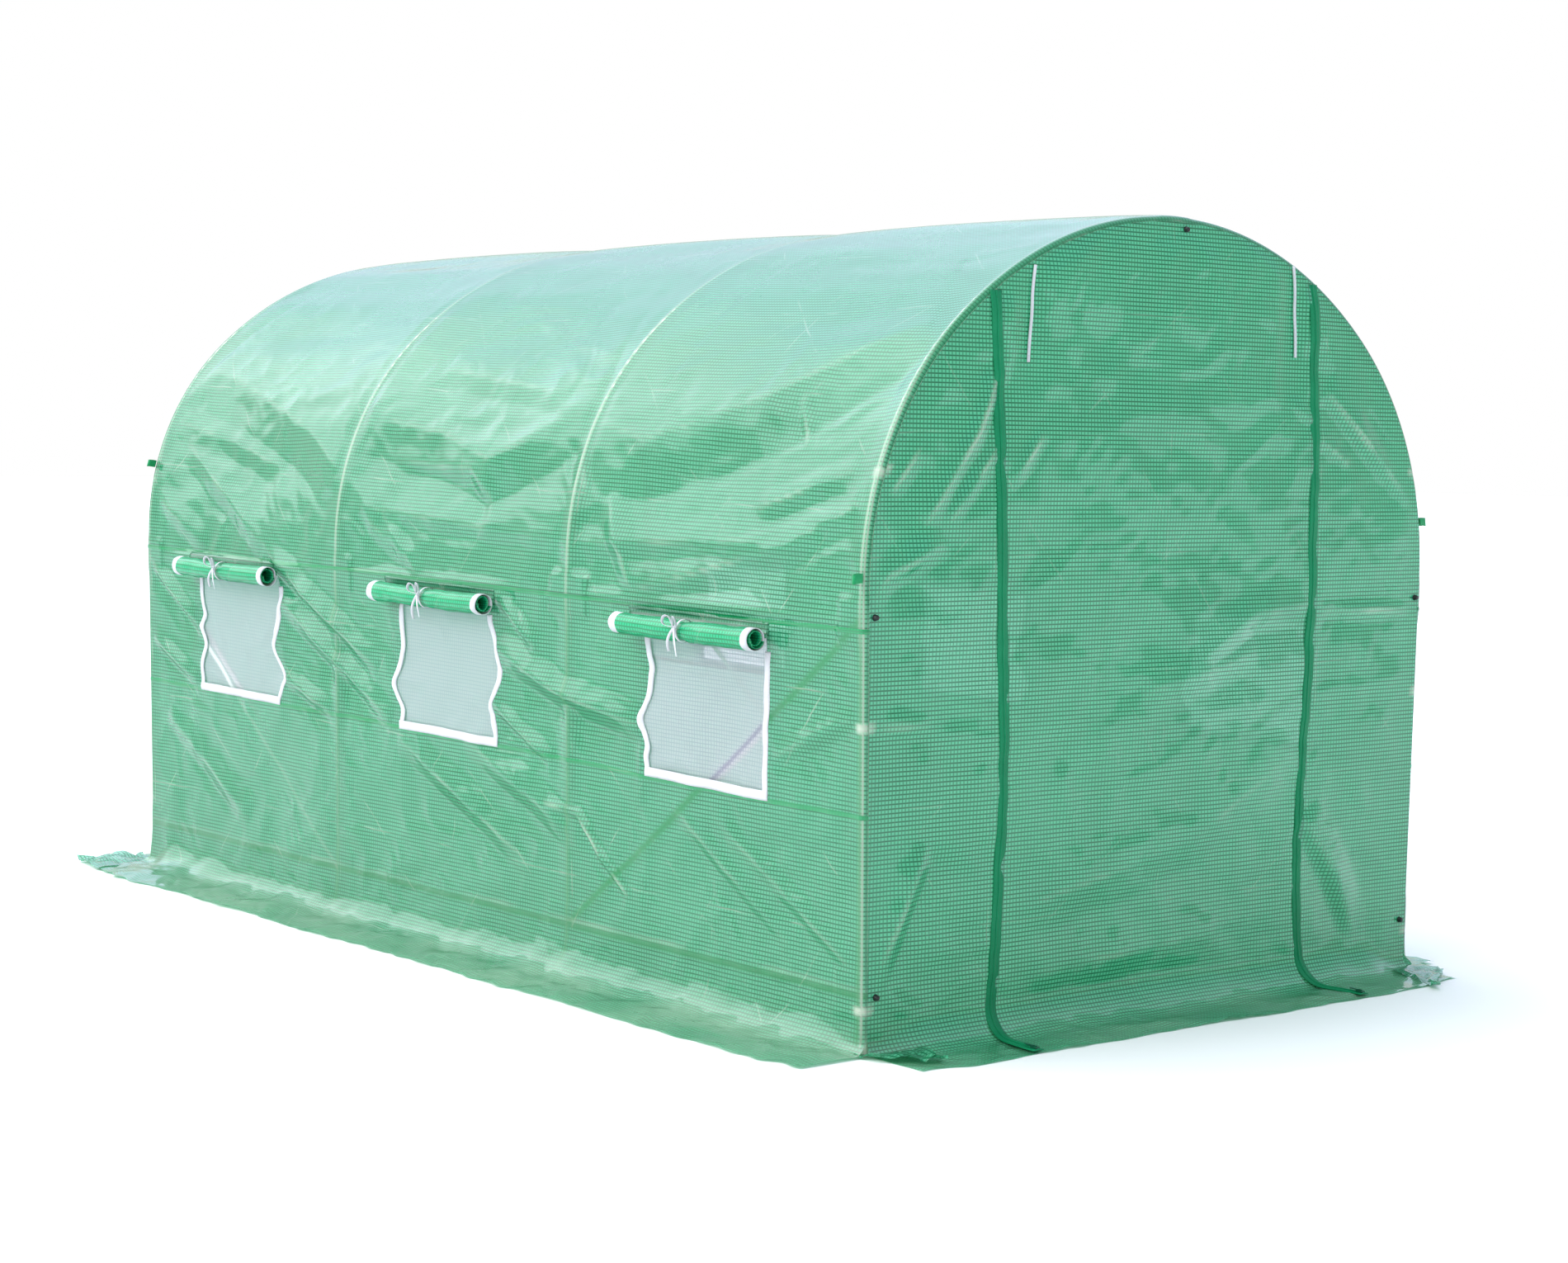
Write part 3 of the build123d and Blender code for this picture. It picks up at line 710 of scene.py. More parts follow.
def tubeTint(run, along, pale):
    # Painted highlights where the film is drawn over the hoops, the base purlin and the rear brace, with the fold
    # crests' stress whitening and painted highlights
    m = tubeMarks
    past = np.maximum(hoopYs[0] - along, along - hoopYs[-1])
    # Painted highlights round the end wraps and along the hoops
    rim = ease(0.004, 0.007, past) * (1 - ease(0.009, 0.013, past)) * levelAt(run, m["rimPale"])
    drawn = falloff(hoopDistance(along), m["hoopLine"]) * levelAt(run, m["hoopPale"])
    hoop = np.where(past > 0, rim, drawn)
    # Painted highlight along the top of the base purlin, uneven along the tunnel
    wearAndHighlight = np.clip(0.10 + 0.25 * lineNoise(along, 0.15, 5), 0, 1)
    base = wearAndHighlight * falloff(run - baseRun - m["baseAbove"], m["baseLine"])
    # Painted light of the rear brace seen through the film
    brace = m["bracePale"] * falloff(braceDistance(run, along, 1), m["braceLine"])
    straps = strapMarks(run, hoopYs[0] - along)
    return np.clip(np.maximum.reduce([hoop * 0.85, base, pale, brace, straps]), 0, 1)


def tubeShadow(run, along):
    # Painted shade where a tube lies close behind the film: the front brace, the base purlin and the hoops on the
    # walls, and over the end wraps high up
    m = tubeMarks
    brace = falloff(braceDistance(run, along, -1), m["braceShade"], 4)
    base = m["baseDark"] * falloff(run - baseRun, m["baseShade"], 4)
    hoop = m["hoopDark"] * falloff(hoopDistance(along), m["hoopShade"]) * (1 - ease(0.95, 1.10, run))
    rim = m["rimDark"] * (np.abs(along) > hoopYs[-1] + 0.002) * ease(1.35, 1.75, run)
    return np.maximum.reduce([brace, base, hoop, rim])


def layOnCover(side, mesh, run, along, above, uvs):
    # A strip laid on the side cover, standing off it by a small height
    lift = sideLift(side, run, along)[0] + above
    return placeSheet(mesh, onCover(side, run, along, lift), uvs, (sides[side], 0, 0))


def coverColumns(extra=(), across=84):
    # Closer together by the hoops, where the film turns over the tubes
    near = [0.004, 0.008, 0.013, 0.020, 0.030]
    middle = np.linspace(0.042, bayLength - 0.042, across)
    bay = np.concatenate([[0.0], near, middle, [bayLength - n for n in near[::-1]]])
    body = np.concatenate([hoopYs[k] + bay for k in range(3)] + [[hoopYs[-1]]])
    wrap = endWrap * np.array([0.2, 0.4, 0.6, 0.8, 1.0])
    columns = np.concatenate([hoopYs[0] - wrap[::-1], body, hoopYs[-1] + wrap])
    return np.unique(np.round(np.concatenate([columns, extra]), 6))


# Roof sheet from eave to eave
roof = {"rowStep": 0.0115, "across": 100}


def makeRoof():
    half = ridgeRun - eaveRun
    rows = np.linspace(0, 2 * half, int(2 * half / roof["rowStep"]) // 2 * 2 + 1)
    mesh, along, down = newSheet("roof_sheet_film", coverColumns((), roof["across"]), rows)
    onLeft = down < half
    share = np.where(onLeft, down, 2 * half - down) / half
    start = eaveRun + seamShift(along)
    run = start + share * (ridgeRun - start)
    lift, pale = [np.where(onLeft, a, b) for a, b in zip(sideLift("left", run, along), sideLift("right", run, along))]
    left = onCover("left", run, along, lift)
    right = onCover("right", run, along, lift)
    points = [np.where(onLeft, a, b) for a, b in zip(left, right)]
    placeSheet(mesh, points, (along, down), (0, 0, 1), tubeTint(run, along, pale), tubeShadow(run, along))
    piece = addPiece("roof_sheet_film", mesh, [greenFilm], ["roof_sheet"])
    return piece, (2 * half, 2 * hoopYs[-1] + 2 * endWrap)


roofPiece, roofFlat = makeRoof()
print("roof sheet made", len(roofPiece.data.polygons))


# Windows: each edge as shares of the window's height from its head, and its waver along the tunnel in metres
windows = {
    "half": 0.230,
    "headZ": 0.962,
    "sillZ": 0.590,
    "waverReach": 0.055,
    "netHem": 0.055,           # net that reaches behind the film beside the opening,
    "netSill": 0.012,          # below it
    "netHead": 0.016,          # and above it
    "netSlack": 0.004,
    "leftRear": (
        ((0, .010), (.16, -.015), (.38, .0), (.6, .036), (.74, -.022), (.82, -.045), (.9, -.02), (1, .0)),
        ((0, .010), (.22, .010), (.42, -.012), (.52, .020), (.66, -.018), (.82, .014), (1, .0)),
    ),
    "leftMiddle": (
        ((0, .012), (.14, .026), (.34, -.012), (.55, -.022), (.75, .024), (1, -.004)),
        ((0, -.018), (.2, -.006), (.42, -.014), (.58, .010), (.72, .040), (.83, .012), (.9, -.018), (1, .0)),
    ),
    "leftFront": (
        ((0, .0), (.5, .004), (1, .0)),
        ((0, -.008), (.12, .008), (.32, -.018), (.5, -.002), (.66, .036), (.84, -.004), (.91, .012), (1, .0)),
    ),
}
waverOrder = {"left": ("leftFront", "leftMiddle", "leftRear"), "right": ("leftMiddle", "leftRear", "leftFront")}
headRun, sillRun = windows["headZ"] / cos(tunnel["lean"]), windows["sillZ"] / cos(tunnel["lean"])


def windowEdge(side, bay, edge, run):
    # Waver of the front (0) or rear (1) edge of a window at a height
    waver = windows[waverOrder[side][bay]][edge]
    share = (headRun - run) / (headRun - sillRun)
    return easyLine(waver, np.clip(share, 0, 1)) * ease(1.35, 1.0, share) * ease(-0.10, 0.0, share)


def windowWaver(side, run, along):
    moved = np.zeros_like(along)
    for bay, middle in enumerate(bayYs):
        for edge, place in enumerate((middle - windows["half"], middle + windows["half"])):
            pull = falloff(along - place, windows["waverReach"])
            moved += windowEdge(side, bay, edge, run) * pull
    return moved


def makeWindowBand(side):
    edges = [m + e * windows["half"] for m in bayYs for e in (-1, 1)]
    columns = coverColumns(edges, 140)
    rows = np.concatenate([[seamRun], np.linspace(sillRun, headRun, 50), [eaveRun - 0.02, eaveRun - 0.01, eaveRun]])
    mesh, along, run = newSheet(f"{side}_window_band_film", columns, rows)
    moved = along + windowWaver(side, run, along)
    high = run + seamShift(moved)
    lift, pale = sideLift(side, high, moved)
    points = onCover(side, high, moved, lift)
    placeSheet(mesh, points, (moved, run), (sides[side], 0, 0), tubeTint(high, along, pale), tubeShadow(high, moved))
    # The three openings are taken out of the grid
    bm = bmesh.new()
    bm.from_mesh(mesh)
    bm.verts.ensure_lookup_table()
    openFaces = []
    for face in bm.faces:
        index = [v.index for v in face.verts]
        middleAlong, middleRun = along[index].mean(), run[index].mean()
        if sillRun < middleRun < headRun and np.min(np.abs(middleAlong - bayYs)) < windows["half"]:
            openFaces.append(face)
    bmesh.ops.delete(bm, geom=openFaces, context="FACES")
    keepMesh(bm, mesh)
    return addPiece(f"{side}_window_band_film", mesh, [greenFilm], [f"{side}_window_band"])


def makeNet(side, bay):
    middle = bayYs[bay]
    reach = windows["half"]
    columns = np.linspace(middle - reach - windows["netHem"], middle + reach + windows["netHem"], 88)
    rows = np.linspace(sillRun - windows["netSill"], headRun + windows["netHead"], 62)
    mesh, along, run = newSheet(f"{side}_net_{bay + 1}", columns, rows)
    slack = windows["netSlack"] * (softNoise(along, run, 0.16, 21 + bay) - 1)
    inside = np.clip(np.minimum(along - columns[0], columns[-1] - along) / 0.10, 0, 1)
    high = run + seamShift(along)
    lift = sideLift(side, high, along)[0] - 0.0022 + slack * inside
    rear, front = [falloff(braceDistance(high, along, end), 0.0085, 4) for end in (1, -1)]
    placeSheet(mesh, onCover(side, high, along, lift), (along, run), (sides[side], 0, 0), 0.80 * rear, 0.9 * front)
    replaced = [f"{side}_window_nets"] if bay == 0 else []
    piece = addPiece(f"{side}_net_{bay + 1}", mesh, [insectNet], replaced)
    return piece


# White bindings down both sides of each window and along its foot
binding = {"width": 0.021, "depth": 0.0022, "lift": 0.0006, "footWidth": 0.024}


def makeBindings(side):
    strips = []
    for bay, middle in enumerate(bayYs):
        edges = [middle - windows["half"], middle + windows["half"]]
        for edge, place in enumerate(edges):
            across = np.linspace(-binding["width"] / 2, binding["width"] / 2, 5)
            mesh, offset, run = newSheet("edge", across, np.linspace(sillRun - 0.004, headRun - 0.035, 56))
            along = place + windowEdge(side, bay, edge, run) + offset + (0.004 if edge else -0.004)
            crown = 0.0012 * (1 - (offset / across[-1]) ** 2) + 0.0006 * softNoise(along, run, 0.02, 40 + bay)
            above = binding["lift"] + crown
            strips.append(layOnCover(side, mesh, run + seamShift(along), along, above, (offset, run)))
        low, high = [p + windowEdge(side, bay, e, np.array([sillRun]))[0] for e, p in enumerate(edges)]
        rows = np.linspace(-binding["footWidth"] / 2, binding["footWidth"] / 2, 5)
        mesh, along, offset = newSheet("foot", np.linspace(low - 0.014, high + 0.014, 50), rows)
        run = sillRun - 0.004 + offset + 0.002 * lineNoise(along, 0.2, 50 + bay)
        above = binding["lift"] + 0.0014 + 0.001 * (1 - (offset / rows[-1]) ** 2)
        strips.append(layOnCover(side, mesh, run + seamShift(along), along, above, (along, offset)))
    mesh = joinMeshes(f"{side}_bindings", strips)
    thicken(mesh, binding["depth"])
    return addPiece(f"{side}_bindings", mesh, [whiteTape], [f"{side}_window_bindings"])


# Sewn seams over and under the windows, where the film lies double
seam = {"width": 0.011, "lift": 0.0009}


def makeSeams(side):
    strips = []
    for level in (eaveRun, seamRun):
        rows = np.linspace(-seam["width"] / 2, seam["width"] / 2, 4)
        mesh, along, offset = newSheet("seam", coverColumns(), rows)
        run = level + seamShift(along) + offset + 0.004 * lineNoise(along, 0.35, 60)
        above = seam["lift"] + 0.0006 * (1 - (offset / rows[-1]) ** 2)
        strips.append(layOnCover(side, mesh, run, along, above, (along, run)))
    return addPiece(f"{side}_seams", joinMeshes(f"{side}_seams", strips), [doubledFilm])


# Lower walls and their skirts, which turn out over the ground
skirt = {
    "seeds": {"left": 70, "right": 90},
    "edgeWaver": 0.012,
    "groundRipple": 0.005,
    "facet": 0.006,
    "pleat": 0.008,
    # pale tint of the skirt on the ground: dust together with painted sheen
    "dust": 0.24,
    "cornerReach": 0.17,
    "cornerBend": 0.35,       # share of the bend that is left at the corner legs
    # Corner flaps as (across from the foot, out past the end hoop), by corner, going round
    "flap": ((0.0, 0.0), (0.205, -0.03), (0.165, 0.190), (-0.04, 0.150)),
    "frontLeftFlap": ((0.020, -0.01), (-0.160, 0.020), (-0.100, 0.180), (0.010, 0.060)),
    "frontRightFlap": ((-0.100, 0.030), (0.040, 0.0), (0.036, 0.095), (-0.200, 0.265)),
}


def skirtAt(wallX, run, bend):
    # Wall, bend and ground part of a layer by its run: out from the centre, up, and the outward direction
    ground = tunnel["groundGap"]
    start = bend + ground
    angle = np.clip((start - run) / bend, 0, pi / 2)
    flat = np.clip(start - bend * pi / 2 - run, 0, None)
    out = wallX + bend * (1 - np.cos(angle)) + flat
    up = np.where(run > start, run, ground + bend * (1 - np.sin(angle)))
    return out, up, np.cos(angle), np.sin(angle)


def skirtRuns(reach):
    # Runs where the skirt comes to the ground and where its edge lies, for its reach out from the wall
    bend = tunnel["skirtBend"]
    flatRun = bend + tunnel["groundGap"] - bend * pi / 2
    return flatRun, flatRun - (reach - bend)


def cornerBend(bend, fromCorner):
    # The bend gets tighter towards the corner legs
    return bend * (1 - (1 - skirt["cornerBend"]) * ease(skirt["cornerReach"], 0.02, fromCorner))


def makeLowerWall(side):
    bend = tunnel["skirtBend"]
    wallX = float(archAt(np.array([bend]))[0])
    flatRun, edgeRun = skirtRuns(skirtEdge - wallX)
    rows = np.concatenate([np.linspace(edgeRun, flatRun, 18), np.linspace(flatRun, bend + 0.02, 20)[1:],
                           np.linspace(bend + 0.02, baseRun - 0.012, 3)[1:], baseRun + np.linspace(-0.006, 0.018, 5),
                           np.linspace(baseRun + 0.024, seamRun, 54)])
    mesh, along, flatRuns = newSheet(f"{side}_lower_wall_film", coverColumns((), 140), rows)
    run = flatRuns + seamShift(along) * ease(0.2, seamRun, flatRuns)
    seed = skirt["seeds"][side]
    onGround = ease(bend, flatRun, run)
    atEdge = ease(flatRun, edgeRun, run)
    hug = ease(0.012, 0.040, run)
    lift, pale = sideLift(side, np.maximum(run, 0), along)
    heaps = softNoise(along, run * 1.4, 0.11, seed) + 0.6 * softNoise(along * 1.2 + run, run * 2, 0.045, seed + 1)
    facets = np.abs(softNoise(along + 0.4 * run, run * 0.6, 0.13, seed + 8))
    facets = facets + 0.5 * np.abs(softNoise(along - run, run, 0.06, seed + 9))
    rumpled = skirt["groundRipple"] * np.clip(heaps + 0.35, 0, None) * 0.55 + skirt["facet"] * facets
    lift = lift * ease(flatRun, 0.12, run) + onGround * rumpled
    # Pale tint on the ground part: dust together with painted sheen
    dust = onGround * np.clip(skirt["dust"] * (1 + 0.8 * softNoise(along, run * 2, 0.2, seed + 10)), 0, 1)
    pleat = np.abs(softNoise(along + 0.9 * run, run * 0.3, 0.31, seed + 11))
    pleat = pleat + 0.6 * np.abs(softNoise(along - 0.7 * run, run * 0.3, 0.13, seed + 12))
    lift = lift + skirt["pleat"] * pleat * ease(0.13, 0.05, run) * ease(edgeRun, flatRun, run)
    wallXs, wallY, wallZ = onCover(side, np.maximum(run, 0), along, lift, hug)
    wrapX = wallXs - onCover(side, np.maximum(run, 0), along, lift, 0.0)[0]
    uneven = 0.018 * lineNoise(along, 0.5, seed + 2) + 0.016 * lineNoise(along, 0.19, seed + 13)
    uneven = uneven + 0.010 * softNoise(along + run, run, 0.075, seed + 14)
    out, up, normalOut, normalUp = skirtAt(wallX, run, cornerBend(bend + uneven, hoopYs[-1] - np.abs(along)))
    ragged = lineNoise(along, 0.16, seed + 3) + 0.7 * lineNoise(along, 0.05, seed + 4)
    waver = atEdge * skirt["edgeWaver"] * ragged
    if side == "right":       # drawn in towards the front right corner
        waver = waver - 0.8 * np.clip(out - wallX - bend, 0, None) * ease(-1.25, -1.72, along)
    turned = run < bend + tunnel["groundGap"]
    px = np.where(turned, sides[side] * (out + normalOut * lift + waver) + wrapX, wallXs)
    pz = np.maximum(np.where(turned, up + normalUp * lift, wallZ), 0.0012)
    points = (px, wallY, pz)
    tint, shadow = tubeTint(np.maximum(run, 0), along, pale), tubeShadow(run, along)
    placeSheet(mesh, points, (along, run), (sides[side], 0, 0.2),
               np.maximum(tint * (1 - onGround), dust), shadow * (1 - onGround))
    flaps = [makeFlap(side, end, seed + 5) for end in (-1, 1)]
    joined = joinMeshes(f"{side}_lower_wall_film", [mesh] + flaps)
    return addPiece(f"{side}_lower_wall_film", joined, [greenFilm], [f"{side}_lower_wall"])


def makeFlap(side, end, seed):
    # A loose corner of the skirt, bunched where it was folded
    corners = skirt["flap"] if end > 0 else skirt[f"front{side.title()}Flap"]
    footX = float(archAt(np.array([0.0]))[0])
    mesh, u, v = newSheet("flap", np.linspace(0, 1, 18), np.linspace(0, 1, 18))
    a, b, c, d = [np.array(corner) for corner in corners]
    spot = [(a[k] * (1 - u) + b[k] * u) * (1 - v) + (d[k] * (1 - u) + c[k] * u) * v for k in (0, 1)]
    bunched = np.abs(softNoise(spot[0], spot[1], 0.055, seed))
    bunched = bunched + 0.5 * np.abs(softNoise(spot[0], spot[1], 0.022, seed + 1))
    ragged = 0.012 * softNoise(u * 2, v, 0.16, seed + 2) * v
    x = sides[side] * (footX + spot[0])
    y = end * (hoopYs[-1] + 0.016 + spot[1] + ragged)
    z = 0.003 + 0.022 * bunched * (0.4 + 0.6 * v)
    return placeSheet(mesh, (x, y, z), (y, spot[0]), (0, 0, 1))


for side in sides:
    bandPiece = makeWindowBand(side)
    nets = [makeNet(side, bay) for bay in range(3)]
    bindings = makeBindings(side)
    seams = makeSeams(side)
    wallPiece = makeLowerWall(side)
    print(side, "wall made", len(wallPiece.data.polygons))


# Door ties: white tapes that hang from the top seam, on the routes of the part's source in metres
doorTies = {
    "left": ((-.488, 1.826), (-.497, 1.772), (-.496, 1.712), (-.503, 1.652), (-.505, 1.598)),
    "right": ((.430, 1.868), (.439, 1.812), (.437, 1.752), (.445, 1.692), (.446, 1.636)),
    "lengths": {"left": 0.229, "right": 0.233},
    "diameter": 0.006,
    "tape": 0.0078,       # width that the soft tape takes up
}


# End sheets: the front in three parts between the zips, and the rear in one
ends = {
    "rowStep": 0.0125,
    "columnStep": 0.0125,
    "skirtRun": 0.215,
    "ripple": 0.0045,
    "bulge": 0.010,
    "bulgeHalf": 0.62,
    "crumple": 0.4,
    "groundRipple": 0.0055,
    "edgeWaver": (0.010, 0.006),
    "sheenAndDustShare": 0.7,
    "strapShare": 0.8,
    "frontSeed": 130,
    "rearSeed": 150,
    # Zips as height and place across; heights below the bend stand for the run out over the ground
    "leftZip": ((1.80, -.612), (1.48, -.596), (1.09, -.574), (.70, -.556), (.41, -.560), (.21, -.571),
                (.10, -.577), (.0, -.590), (-.15, -.620)),
    "rightZip": ((1.83, .507), (1.50, .528), (1.08, .539), (.76, .531), (.54, .514), (.34, .510),
                 (.22, .509), (.10, .527), (.0, .535), (-.15, .560)),
    # Folds as (across, up), height, reach above and below
    "folds": (
        (((-0.585, 1.60), (-0.662, 1.434), (-0.82, 1.216)), 0.008, 0.030, 0.030, 0.45),
        (((-0.606, 1.388), (-0.74, 1.227)), 0.006, 0.025, 0.025, 0.35),
        (((-0.84, 1.39), (-0.919, 1.29)), 0.006, 0.030, 0.030, 0.4),
        (((-0.45, 1.43), (-0.547, 1.308)), 0.005, 0.020, 0.020, 0.35),
        (((0.569, 1.553), (0.938, 1.261)), 0.010, 0.045, 0.030, 0.35),
        (((0.555, 1.425), (0.679, 1.363)), 0.005, 0.020, 0.020, 0.4),
        (((0.43, 1.531), (0.525, 1.47)), 0.005, 0.020, 0.020, 0.35),
        (((-0.97, 1.043), (-0.927, 1.10), (-0.758, 1.176)), 0.010, 0.045, 0.030, 0.3),
        (((-0.97, 0.757), (-0.789, 0.754)), 0.006, 0.030, 0.025, 0.35),
        (((0.532, 0.998), (0.313, 0.975), (0.118, 0.88)), 0.011, 0.060, 0.040, 0.1),
        (((0.33, 0.887), (0.097, 0.829), (-0.085, 0.797)), 0.009, 0.060, 0.050, 0.08),
        (((0.571, 0.985), (0.951, 0.971)), 0.006, 0.020, 0.020, 0.35),
        (((-0.945, 0.17), (-0.859, 0.337), (-0.80, 0.47)), 0.014, 0.045, 0.045, 0.2),
        (((0.523, 0.45), (0.645, 0.298), (0.75, 0.12)), 0.014, 0.060, 0.040, 0.1),
        (((-0.50, 0.30), (0.10, 0.42), (0.48, 0.62)), 0.009, 0.080, 0.080, 0.05),
        (((-0.45, 0.14), (0.20, 0.17)), 0.007, 0.060, 0.060, 0.05),
    ),
}


frontFolds = varyFolds(ends["folds"], 1, 1.2, 0.12)


def zipX(which, z):
    return easyLine(ends[which], z)


def endLift(x, z, seed, folds):
    # Bulges and folds of an end sheet, held flat where it is sewn to the roof and walls
    edge = np.minimum(halfWidthAt(np.maximum(z, 0)) - np.abs(x), 1.1 * (endTopZ - z))
    held = ease(0.0, 0.13, edge)
    ripple = softNoise(x, z, 0.24, seed) + 0.5 * softNoise(x * 1.5 + z, z, 0.10, seed + 1)
    bulge = ends["bulge"] * np.cos(np.clip(x / ends["bulgeHalf"], -pi / 2, pi / 2)) * ease(0.0, 0.5, z)
    shape, pale = foldShape(x, z, folds)
    for side in sides:       # flat behind the hanging ties
        held = held * (1 - ease(1.48, 1.58, z) * falloff(x - doorTies[side][2][0], 0.05, 4))
    return held * (ends["ripple"] * ripple + bulge + shape + ends["crumple"] * crumple(x, z, seed + 2)), pale


def endRows(top):
    # Runs from the skirt's edge in over the ground, round the bend and up to the top, closer near the top
    bend = tunnel["skirtBend"]
    flatRun, edgeRun = skirtRuns(ends["skirtRun"])
    wall = np.linspace(bend, top - 0.10, int((top - 0.10 - bend) / ends["rowStep"]))
    cap = top - 0.10 * (1 - np.linspace(0, 1, 14)) ** 1.7
    foot = [np.linspace(edgeRun, flatRun, 12), np.linspace(flatRun, bend, 14)[1:]]
    return np.concatenate(foot + [wall[1:], cap[1:]]), edgeRun, flatRun


def endPoint(x, run, lift, front):
    # A place on the front or rear sheet
    face = hoopYs[-1] + tunnel["filmOut"]
    fromCorner = float(halfWidthAt(np.array([0.0]))[0]) - np.abs(x)
    out, up, normalOut, normalUp = skirtAt(face, run, cornerBend(tunnel["skirtBend"], fromCorner))
    sign = -1 if front else 1
    return x, sign * (out + normalOut * lift), up + normalUp * lift


def makeEndPanel(name, leftEdge, rightEdge, top, front, seed, folds, replaced):
    rows, edgeRun, flatRun = endRows(top)
    width = float(np.max(rightEdge(rows) - leftEdge(rows)))
    mesh, share, run = newSheet(name, np.linspace(0, 1, int(width / ends["columnStep"]) + 1), rows)
    low, high = leftEdge(run), rightEdge(run)
    x = low + (high - low) * share
    onGround = ease(tunnel["skirtBend"], flatRun, run)
    atEdge = ease(flatRun, edgeRun, run)
    lift, pale = endLift(x, run, seed, folds)
    heaps = softNoise(x, run * 1.4, 0.12, seed + 5) + 0.6 * softNoise(x * 1.2 + run, run * 2, 0.05, seed + 6)
    lift = lift * ease(flatRun, 0.12, run) + onGround * ends["groundRipple"] * np.clip(heaps + 0.35, 0, None)
    broad, fine = ends["edgeWaver"]
    waver = atEdge * (broad * lineNoise(x, 0.17, seed + 7) + fine * lineNoise(x, 0.045, seed + 8))
    px, py, pz = endPoint(x, run, lift, front)
    sign = -1 if front else 1
    # Pale tint on the ground part: dust together with painted sheen
    sheenAndDust = ends["sheenAndDustShare"] * skirt["dust"] * (1 + 0.8 * softNoise(x, run * 2, 0.2, seed + 10))
    dust = onGround * np.clip(sheenAndDust, 0, 1)
    if front:
        straps = strapMarks(run, np.abs(x) - halfWidthAt(np.maximum(run, 0)))
        pale = np.maximum(pale, ends["strapShare"] * straps)
    placeSheet(mesh, (px, py + sign * waver, pz), (x, run), (0, sign, 0.2), np.maximum(pale, dust))
    closePoles(mesh)
    return addPiece(name, mesh, [endFilm], replaced)


def arch(sign):
    return lambda z: sign * halfWidthAt(np.clip(z, 0, endTopZ))


def doorSide(which, sign):
    # The zip's line up to the arch, then the arch
    return lambda z: sign * np.minimum(np.abs(zipX(which, z)), halfWidthAt(np.clip(z, 0, endTopZ)))


def meetingZ(which):
    # Height where a zip's line runs into the arch
    heights = np.linspace(1.5, endTopZ, 600)
    return float(heights[np.argmax(halfWidthAt(heights) < np.abs(zipX(which, heights)))])


panelNotes = (
    ("front_left_film", arch(-1), lambda z: np.maximum(zipX("leftZip", z), arch(-1)(z)), meetingZ("leftZip"),
     ["front_left_sheet"]),
    ("front_door_film", doorSide("leftZip", -1), doorSide("rightZip", 1), endTopZ, ["front_door"]),
    ("front_right_film", lambda z: np.minimum(zipX("rightZip", z), arch(1)(z)), arch(1), meetingZ("rightZip"),
     ["front_right_sheet"]),
)
for name, leftEdge, rightEdge, top, replaced in panelNotes:
    piece = makeEndPanel(name, leftEdge, rightEdge, top, True, ends["frontSeed"], frontFolds, replaced)
    heights = np.linspace(-ends["skirtRun"], top, 400)
    widths = rightEdge(heights) - leftEdge(heights)
    print(name, "made", len(piece.data.polygons))

rearFolds = varyFolds(ends["folds"], -1, 0.8, 0.0)
rearPiece = makeEndPanel("rear_sheet_film", arch(-1), arch(1), endTopZ, False, ends["rearSeed"], rearFolds,
                         ["rear_sheet"])
heights = np.linspace(-ends["skirtRun"], endTopZ, 400)
print("rear sheet made", len(rearPiece.data.polygons))


# Zips: a folded tape with the coil under its middle, and the slider at the foot
zipTape = {"width": 0.034, "depth": 0.0022, "lift": 0.0008, "coilWidth": 0.007}


def makeZip(side):
    which = f"{side}Zip"
    flatRun, edgeRun = skirtRuns(ends["skirtRun"])
    rows = np.concatenate([np.linspace(edgeRun + 0.012, 0.12, 40), np.linspace(0.12, meetingZ(which) - 0.002, 150)[1:]])
    parts = []
    for width, proud, arched in ((zipTape["width"], 0.0, 0.0014), (zipTape["coilWidth"], 0.0022, 0.0010)):
        across = np.linspace(-width / 2, width / 2, 7)
        mesh, offset, run = newSheet("tape", across, rows)
        pucker = 1 + 0.10 * lineNoise(run, 0.10, 171)
        x = zipX(which, run) + offset * pucker
        lift = endLift(zipX(which, run), run, ends["frontSeed"], frontFolds)[0] * ease(flatRun, 0.12, run)
        lift = lift + zipTape["lift"] + proud + arched * (1 - (offset / across[-1]) ** 2)
        lift = lift + 0.0015 * softNoise(offset * 3, run, 0.06, 172)
        onGround = ease(tunnel["skirtBend"], flatRun, run)
        parts.append(placeSheet(mesh, endPoint(x, run, lift + 0.006 * onGround, True), (offset, run), (0, -1, 0.2)))
    mesh = joinMeshes(f"{side}_zip_tape", parts)
    thicken(mesh, zipTape["depth"])
    return addPiece(f"{side}_zip_tape", mesh, [greenTape], [f"{side}_zip"])


# Slider at the foot of a zip, with its pull laid back along the tape
slider = {
    "body": (0.013, 0.022, 0.005),
    "bridge": (0.004, 0.013, 0.003),
    "pull": (0.008, 0.030, 0.002),
    "inFromEdge": 0.026,
    "above": 0.0085,
}


def addBlock(bm, size, place, rounding):
    made = bmesh.ops.create_cube(bm, size=1)["verts"]
    bmesh.ops.scale(bm, vec=size, verts=made)
    edges = list({e for v in made for e in v.link_edges})
    shaped = bmesh.ops.bevel(bm, geom=edges, offset=rounding, affect="EDGES", segments=3, profile=0.5, material=-1)
    bmesh.ops.translate(bm, vec=place, verts=list({v for f in shaped["faces"] for v in f.verts}))


